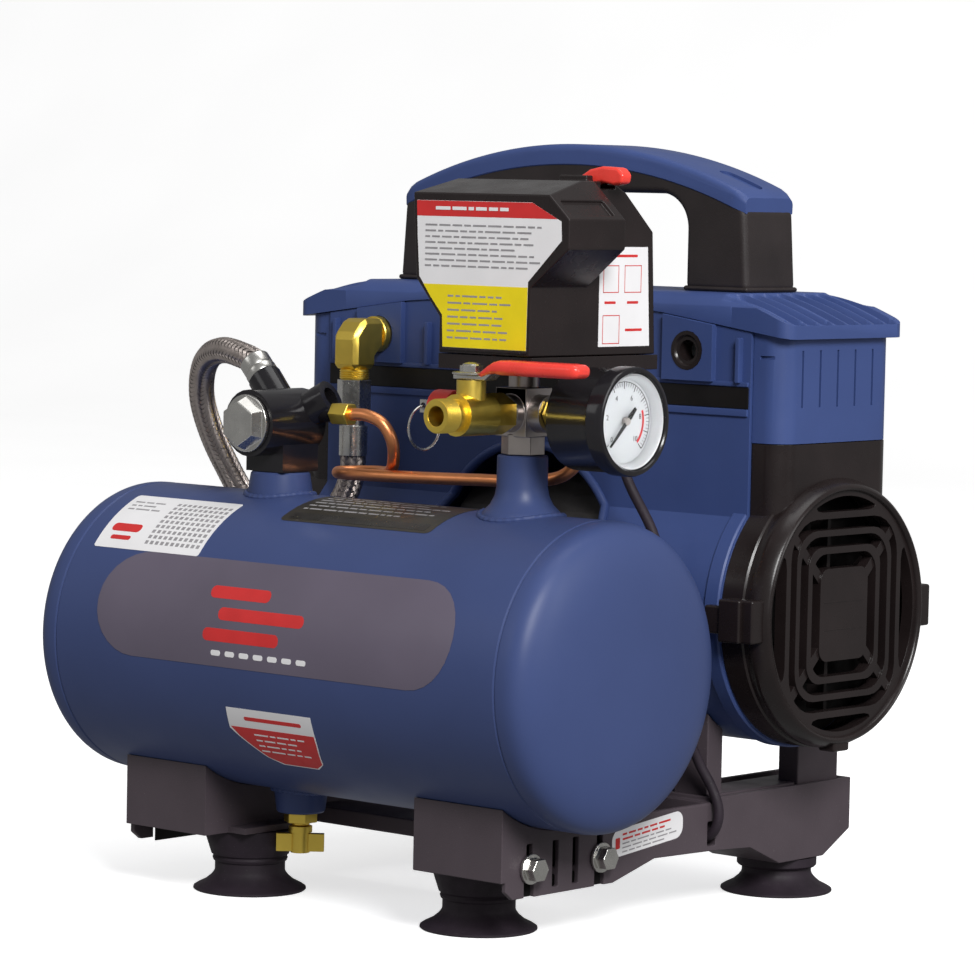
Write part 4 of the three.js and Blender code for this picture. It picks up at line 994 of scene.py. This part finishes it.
def build_gauge():
    low, high = extent("gauge_case")
    dial_x = extent("gauge_dial")[1].x
    face = high.x
    back = face - 35
    centre = (0, TANK_Y, GAUGE_Z)
    radius = (high.z - low.z) / 2
    case = lathe([
        (0, back), (17, back), (20.6, back + 0.7), (22.6, back + 2.2), (23.1, back + 4), (23.1, face - 10),
        (23.5, face - 9.2), (radius, face - 8.6), (radius, face - 1.4), (radius - 0.5, face - 0.4),
        (radius - 1.3, face), (radius - 2.2, face), (radius - 2.7, face - 0.6), (radius - 2.8, dial_x - 0.8),
        (0, dial_x - 0.8),
    ], centre, (1, 0, 0), 128)
    stands_for(make("gauge_case_fine", case, "black_enamel"), "gauge_case")
    hexagon = [(TANK_Y + y, MANIFOLD_Z + z) for y, z in arc(0, 0, 6.9, 0, 300, 5)]
    stem = make("gauge_stem", prism(hexagon, "x", low.x, back + 1), "brass", 0.5)
    goes_with(stem, "gauge_case")
    ring = lathe([(21.3, face - 1.6), (20.9, face - 1.2), (20.4, face - 1.6), (18.6, dial_x + 0.9),
                  (18.6, dial_x + 0.2), (21.3, dial_x + 0.2)], centre, (1, 0, 0), 128, closed=True)
    goes_with(make("gauge_ring", ring, "dial_white"), "gauge_dial")
    disc = lathe([(0, dial_x - 0.7), (20.8, dial_x - 0.7), (20.9, dial_x - 0.1), (20.8, dial_x), (0, dial_x)],
                 centre, (1, 0, 0), 96)
    stands_for(make("gauge_dial_fine", disc, "dial_white"), "gauge_dial")
    glass = lathe([(0, face - 2.6), (20.6, face - 2.6), (20.8, face - 2.3), (20.6, face - 1.9),
                   (14, face - 1.3), (7, face - 1.0), (0, face - 0.9)], centre, (1, 0, 0), 96)
    stands_for(make("gauge_lens_fine", glass, "lens"), "gauge_lens")

    def on_dial(angle, reach, lift=0.0):
        """angle in degrees clockwise from the zero mark as read from +X."""
        turn = math.radians(225 - angle)
        return Vector((dial_x + 0.02 + lift, TANK_Y + reach * math.cos(turn),
                       GAUGE_Z + reach * math.sin(turn)))

    def band(start, end, inner, outer, lift):
        steps = max(1, round(abs(end - start) / 3))
        rows = [(start + (end - start) * i / steps, inner, outer) for i in range(steps + 1)]
        return ladder(rows, lambda reach, angle, h: on_dial(angle, reach, h), lift, lift + 0.08)

    ticks = [band(a - 0.7, a + 0.7, 14.2, 17.2, 0.02) for a in range(0, 271, 27)]
    ticks += [band(a - 0.35, a + 0.35, 15.4, 17.2, 0.02) for a in np.arange(0, 270, 5.4)]
    ticks.append(band(0, 270, 17.2, 17.5, 0.02))
    goes_with(make("gauge_ticks", together(*ticks), "print_dark"), "gauge_dial")
    red = band(205, 270, 12.6, 13.8, 0.02)
    goes_with(make("gauge_red_arc", red, "print_red"), "gauge_dial")
    for index, digits in enumerate(DIGITS):
        curve = bpy.data.curves.new(f"digit_{index}", "FONT")
        curve.body = digits
        curve.align_x = "CENTER"
        curve.align_y = "CENTER"
        curve.size = 3.3 * MM
        curve.extrude = 0.03 * MM
        text = placed(f"gauge_digit_{index}", curve)
        place = on_dial(54 * index, 11.2, 0.04) * MM
        axes = Matrix(((0, 0, 1), (1, 0, 0), (0, 1, 0))).to_4x4()
        text.matrix_world = Matrix.Translation(place) @ axes
        digits_mesh = settle_text(text)
        digits_mesh.data.materials.clear()
        digits_mesh.data.materials.append(LOOKS["print_dark"])
        goes_with(digits_mesh, "gauge_dial")
    needle_pivot = PIVOT["needle_turn"]
    tip = [(-0.45, -15.6), (0.45, -15.6), (0.9, -2), (1.2, 3), (0.8, 8), (-0.8, 8), (-1.2, 3), (-0.9, -2)]
    turn = math.radians(-45)
    cos, sin = math.cos(turn), math.sin(turn)
    outline = [(TANK_Y + y * cos - z * sin, GAUGE_Z + y * sin + z * cos) for y, z in tip]
    pointer = make("gauge_needle_fine", prism(outline, "x", needle_pivot.x + 0.7, needle_pivot.x + 1.3),
                   "black_enamel", 0.15)
    stands_for(pointer, "gauge_needle")
    hub = lathe([(0, -0.6), (1.7, -0.6), (1.8, 1.2), (1.4, 1.8), (0, 2.0)],
                (needle_pivot.x, TANK_Y, GAUGE_Z), (1, 0, 0), 40)
    goes_with(make("needle_hub", hub, "nickel"), "gauge_needle")


def settle_text(obj):
    """Turns a text object into a mesh object under the same name."""
    view = bpy.context.evaluated_depsgraph_get()
    mesh = bpy.data.meshes.new_from_object(obj.evaluated_get(view))
    mesh.transform(obj.matrix_world)
    name = obj.name
    bpy.data.objects.remove(obj)
    return placed(name, mesh)


# ---------- fittings ----------
def thread(base, direction, radius, start, end, pitch=1.1, depth=0.5, bore=0.0):
    """Rings of a thread along a round stub, with a bore in its end."""
    profile = [(bore, start), (radius - depth, start)]
    turns = int((end - start) / pitch)
    for k in range(turns):
        along = start + (k + 0.25) * pitch
        profile += [(radius - depth, along), (radius, along + 0.35 * pitch), (radius, along + 0.5 * pitch)]
    profile += [(radius - depth, end - 0.4), (radius - depth - 0.4, end), (bore, end)]
    return lathe(profile, base, direction, 64, closed=bore > 0)


def build_fittings():
    brass = "brass"
    for node, bevel in (("hose_nut", 0.5), ("check_valve_body", 1.1),
                        ("check_valve_cap", 0.6), ("outlet_cross", 0.9), ("ball_valve_body", 0.6),
                        ("valve_ball", 0.4), ("valve_lever", 0.5),
                        ("safety_valve_body", 0.4), ("safety_valve_cap", 0.9), ("safety_valve_pin", 0.3),
                        ("drain_valve_body", 0.5), ("drain_wing", 0.9)):
        refined(node, bevel, 3)
    tip = extent("valve_lever_sleeve")[1].x
    grip_z = 258.3
    stations = [(100.5, 254.6, 0.6, 4.4), (101.3, 255.0, 1.2, 5.0), (105, 256.9, 1.9, 5.4),
                (108.5, 258.2, 2.6, 5.7), (112, grip_z, 3.3, 6), (tip - 6, grip_z, 3.3, 6),
                (tip - 2.4, grip_z, 3.0, 5.7), (tip - 0.8, grip_z, 2.2, 4.8), (tip, grip_z, 1.0, 3.4)]
    sleeve = []
    for x, z, tall, wide in stations:
        section = rounded(0, 0, wide, tall, min(tall, wide) * 0.85, 5)
        sleeve.append([Vector((x, STEM_Y + a, z + b)) for a, b in section])
    stands_for(make("valve_sleeve_fine", loft(sleeve), "red_vinyl"), "valve_lever_sleeve")
    low, high = extent("discharge_elbow")
    top, back = high.z, low.y + 16
    foot_z, arm_z = 246, 255
    bend = [(low.y, foot_z), (back, foot_z), (back, arm_z), (high.y - 3, arm_z), (high.y - 3, top),
            (low.y + 7, top), (low.y, top - 8)]
    body = make("discharge_elbow_fine", prism(bend, "x", low.x, high.x), brass, 2.3, 1)
    shade(body, 20)
    round_edges(body, 0.35, 2, 20)
    stands_for(body, "discharge_elbow")
    collar = lathe([(6, 0), (8.6, 0), (9.0, 0.5), (9.0, 3.4), (8.6, 3.9), (6, 3.9)],
                   ((low.x + high.x) / 2, high.y - 3.9, (arm_z + top) / 2), (0, 1, 0), 64, closed=True)
    goes_with(make("elbow_collar", collar, brass), "discharge_elbow")
    nut_top = extent("hose_nut")[1].z
    stub = thread((low.x + 8, TANK_Y + 92, 0), (0, 0, 1), 7.4, nut_top + 0.2, nut_top + 5.4)
    goes_with(make("elbow_thread", stub, brass), "discharge_elbow")
    nose_y = extent("ball_valve_body")[0].y
    nose = thread((NECK_X, nose_y, MANIFOLD_Z), (0, 1, 0), 7.7, -0.15, 9, bore=4.9)
    goes_with(make("outlet_thread", nose, brass), "ball_valve_body")
    ring_low, ring_high = extent("safety_ring")
    ring_r = (ring_high.z - ring_low.z) / 2 - 0.65
    middle = (ring_low + ring_high) / 2
    path = [middle + Vector((0.45 * math.sin(t), ring_r * math.sin(t), ring_r * math.cos(t)))
            for t in np.linspace(0, 2 * math.pi, 97)[:-1]]
    ring = make("safety_ring_fine", sweep(path, circle(0.65, 10), closed=True), "zinc_steel")
    stands_for(ring, "safety_ring")
    stem_top = extent("valve_ball")[1].z
    dome = lathe([(0, -1), (4.6, -1), (4.6, 0), (3.9, 1.1), (2.2, 1.7), (0, 1.9)],
                 (NECK_X, STEM_Y, stem_top - 0.4), (0, 0, 1), 48)
    goes_with(make("lever_nut_dome", dome, "zinc_steel"), "valve_ball")
    washer = lathe([(8.0, 0), (8.6, 0.2), (8.6, 1.0), (8.0, 1.3), (4, 1.3), (4, 0)],
                   (NECK_X, STEM_Y, extent("valve_lever")[0].z + 2.1), (0, 0, 1), 56, closed=True)
    goes_with(make("lever_washer", washer, "zinc_steel"), "valve_lever")


# ---------- lines: braided hose, copper tube, motor lead ----------
def shifted(points):
    """Points given from the tank's axis, moved into the part's frame."""
    return [(x, y + TANK_Y, z) for x, y, z in points]


HOSE = shifted([
    (-98, 92, 202.5), (-98, 92, 196), (-101, 90.5, 184), (-110, 87, 172), (-124, 82, 167), (-138, 74, 171),
    (-147, 65, 182), (-150.5, 56, 197), (-151, 46, 213), (-148, 36, 230), (-140, 28, 244), (-128, 21, 252.5),
    (-112, 14.5, 256), (-97, 10.5, 254.5), (-85.5, 8.8, 251.3), (-79.1, 8.15, 245.1),
])
UNLOADER = shifted([
    (-26, 9, 229.5), (-13, 10, 229.5), (-5, 12, 226), (-1.5, 15, 218), (-5, 20, 208), (-14, 27, 202.5),
    (-27, 32, 201.5), (-38, 29, 201), (-42, 22, 200.8), (-34, 17, 200.8), (-18, 17, 201), (10, 19, 201.5),
    (45, 21.5, 202.5), (80, 24, 204), (95, 27, 208), (102, 32, 219), (103, 37, 235), (103, 40, 254.5),
])
LEAD = shifted([
    (80, 69.5, 259.5), (80, 74, 259.2), (79, 79.5, 253), (78, 82, 240), (82.5, 84, 207), (101, 84.5, 177),
    (109, 85.5, 150), (110, 89, 118), (111, 98, 88), (114, 106, 70), (119, 109, 59.5), (122.6, 110, 50),
    (122.3, 110, 42.5), (118.5, 110, 36.8), (111, 110, 35), (104, 110, 35),
])
HOSE_R = 6.5


def braid(path, strands, lead, width, turn):
    """Flat strands of three wires wound one way round a path, passing over and under the other way's."""
    shapes = []
    spines = frames_along(path)
    length = [0.0]
    for a, b in zip(path, path[1:]):
        length.append(length[-1] + (b - a).length)
    for strand in range(strands):
        rings = []
        for i, (point, (tangent, side, up)) in enumerate(zip(path, spines)):
            angle = turn * 2 * math.pi * length[i] / lead + 2 * math.pi * strand / strands
            weave = math.cos(2 * math.pi * length[i] / lead * strands / 2 + math.pi * strand
                             + (0 if turn > 0 else math.pi))
            out = side * math.cos(angle) + up * math.sin(angle)
            around = tangent.cross(out)
            run = (tangent * lead + around * turn * 2 * math.pi * HOSE_R).normalized()
            across = run.cross(out)
            reach = HOSE_R - 0.62 + 0.3 * weave
            ring = []
            for k in range(7):
                wire = 0.22 if k % 2 else 0.0
                ring.append(point + out * (reach + wire) + across * (width * (k - 3) / 6))
            rings.append([*ring, point + out * (reach - 0.25)])
        shapes.append(loft(rings))
    return together(*shapes)


def build_lines():
    path = smooth_path(HOSE, 0.7)
    liner = make("hose_liner", sweep(path, circle(HOSE_R - 0.7, 28)), "hose_liner")
    goes_with(liner, "discharge_hose")
    cover = together(braid(path, 12, 34, 1.9, 1), braid(path, 12, 34, 1.9, -1))
    stands_for(make("hose_braid", cover, "steel_braid"), "discharge_hose")
    end, before = Vector(HOSE[-1]), Vector(HOSE[-2])
    ferrule = lathe([(5.4, -0.2), (7.4, -0.2), (7.7, 0.6), (7.7, 3), (7.1, 3.8), (7.5, 4.8), (7.5, 9.6),
                     (6.9, 10.4), (5.8, 10.4)], end, before - end, 64, closed=True)
    goes_with(make("hose_ferrule", ferrule, "zinc_steel"), "discharge_hose")
    tube = make("unloader_line", sweep(smooth_path(UNLOADER, 1.2), circle(2.9, 28)), "copper")
    stands_for(tube, "unloader_tube")
    _, y, z = UNLOADER[0]
    hexagon = [(y + a, z + b) for a, b in arc(0, 0, 5.6, 0, 300, 5)]
    nut = make("unloader_nut", prism(hexagon, "x", -32.7, -22), "brass", 0.6, 3)
    goes_with(nut, "unloader_tube")
    lead = make("motor_lead_fine", sweep(smooth_path(LEAD, 2.0), circle(2.4, 20)), "rubber")
    stands_for(lead, "motor_lead")
    gland = lathe([(0, -9.5), (7.2, -9.5), (7.2, -6), (5.6, -5.4), (5.6, -4), (4.8, -3.6), (4.8, -2.6),
                   (4.2, -2.2), (4.2, -1.2), (3.6, -0.8), (3.6, 0), (0, 0)], LEAD[0], (0, 1, 0), 48)
    goes_with(make("lead_gland", gland, "black_matte"), "switch_base")


# ---------- what stays from the CAD ----------
def dress_remaining():
    for node, obj in frame["nodes"].items():
        if obj.hide_render:
            continue
        obj.data.materials.clear()
        obj.data.materials.append(LOOKS[SLOT[node]])
        shade(obj)


# ---------- floor, light and camera ----------
def add_stage():
    look = Look("studio_floor")
    drift = look.ranged(look.noise(300, 2), 0.3, 0.7, 0, 1)
    tone = look.mixed(drift, (0.84, 0.84, 0.84, 1), (0.86, 0.86, 0.86, 1))
    look.link(tone, look.shader.inputs["Base Color"])
    look.link(tone, look.shader.inputs["Emission Color"])
    look.link(look.ranged(look.noise(120, 3), 0.3, 0.7, 0.55, 0.65), look.shader.inputs["Roughness"])
    look.shader.inputs["Emission Strength"].default_value = 0.8
    rows = [(-40000, 0), (2600, 0), *arc(2600, 1400, 1400, -90, 0, 24), (4000, 5000)]
    verts = [Vector((x, y, z - 0.05)) for y, z in rows for x in (-20000, 20000)]
    faces = [[2 * i, 2 * i + 1, 2 * i + 3, 2 * i + 2] for i in range(len(rows) - 1)]
    LOOKS["studio_floor"] = look.material
    floor = make("studio_floor", (verts, faces), "studio_floor")
    floor.visible_diffuse = False    # it shows white, and neither lights the object nor is mirrored in it
    floor.visible_glossy = False


def add_lights():
    aim = Vector((0, 0, 0.18))
    for name, place, size, power in (("key", (1.7, -1.1, 1.4), (0.7, 0.7), 50),
                                     ("fill", (-1.2, -2.2, 1.4), (1.0, 1.0), 4),
                                     ("top", (0.3, 0.2, 2.1), (1.2, 1.2), 11),
                                     ("side", (2.4, 0.5, 1.1), (0.8, 1.2), 12)):
        data = bpy.data.lights.new(name, "AREA")
        data.shape = "RECTANGLE"
        data.size, data.size_y = size
        data.energy = power
        light = placed(name, data)
        light.location = place
        light.rotation_euler = (aim - light.location).to_track_quat("-Z", "Y").to_euler()
    world = bpy.data.worlds.new("studio")
    world.use_nodes = True
    world.node_tree.nodes["Background"].inputs["Color"].default_value = (1, 1, 1, 1)
    world.node_tree.nodes["Background"].inputs["Strength"].default_value = 0.28
    bpy.context.scene.world = world


def add_camera():
    target = Vector((0.07133, TANK_Y * MM, 0.20142))
    azimuth, elevation, roll = (math.radians(a) for a in (41.118, 4.116, 1.157))
    distance = 1.9214
    back = Vector((math.sin(azimuth) * math.cos(elevation), -math.cos(azimuth) * math.cos(elevation),
                   math.sin(elevation)))
    right = Vector((math.cos(azimuth), math.sin(azimuth), 0))
    up = back.cross(right)
    turn = Matrix((right, up, back)).transposed() @ Matrix.Rotation(roll, 3, "Z")
    data = bpy.data.cameras.new("camera")
    data.sensor_width = 36
    data.lens = 156.4
    data.clip_end = 50
    camera = placed("camera", data)
    camera.matrix_world = Matrix.Translation(target + back * distance) @ turn.to_4x4()
    bpy.context.scene.camera = camera
    bpy.context.scene.view_settings.view_transform = "Standard"


add_camera()
build_lines()
build_tank()
build_tank_stickers()
build_base()
build_rail_sticker()
build_housing()
build_ends()
for cover_name, cover_side in SIDES:
    build_fan_cover(cover_name, cover_side)
build_lid()
build_handle()
build_switch()
build_gauge()
build_fittings()
dress_remaining()
add_stage()
add_lights()
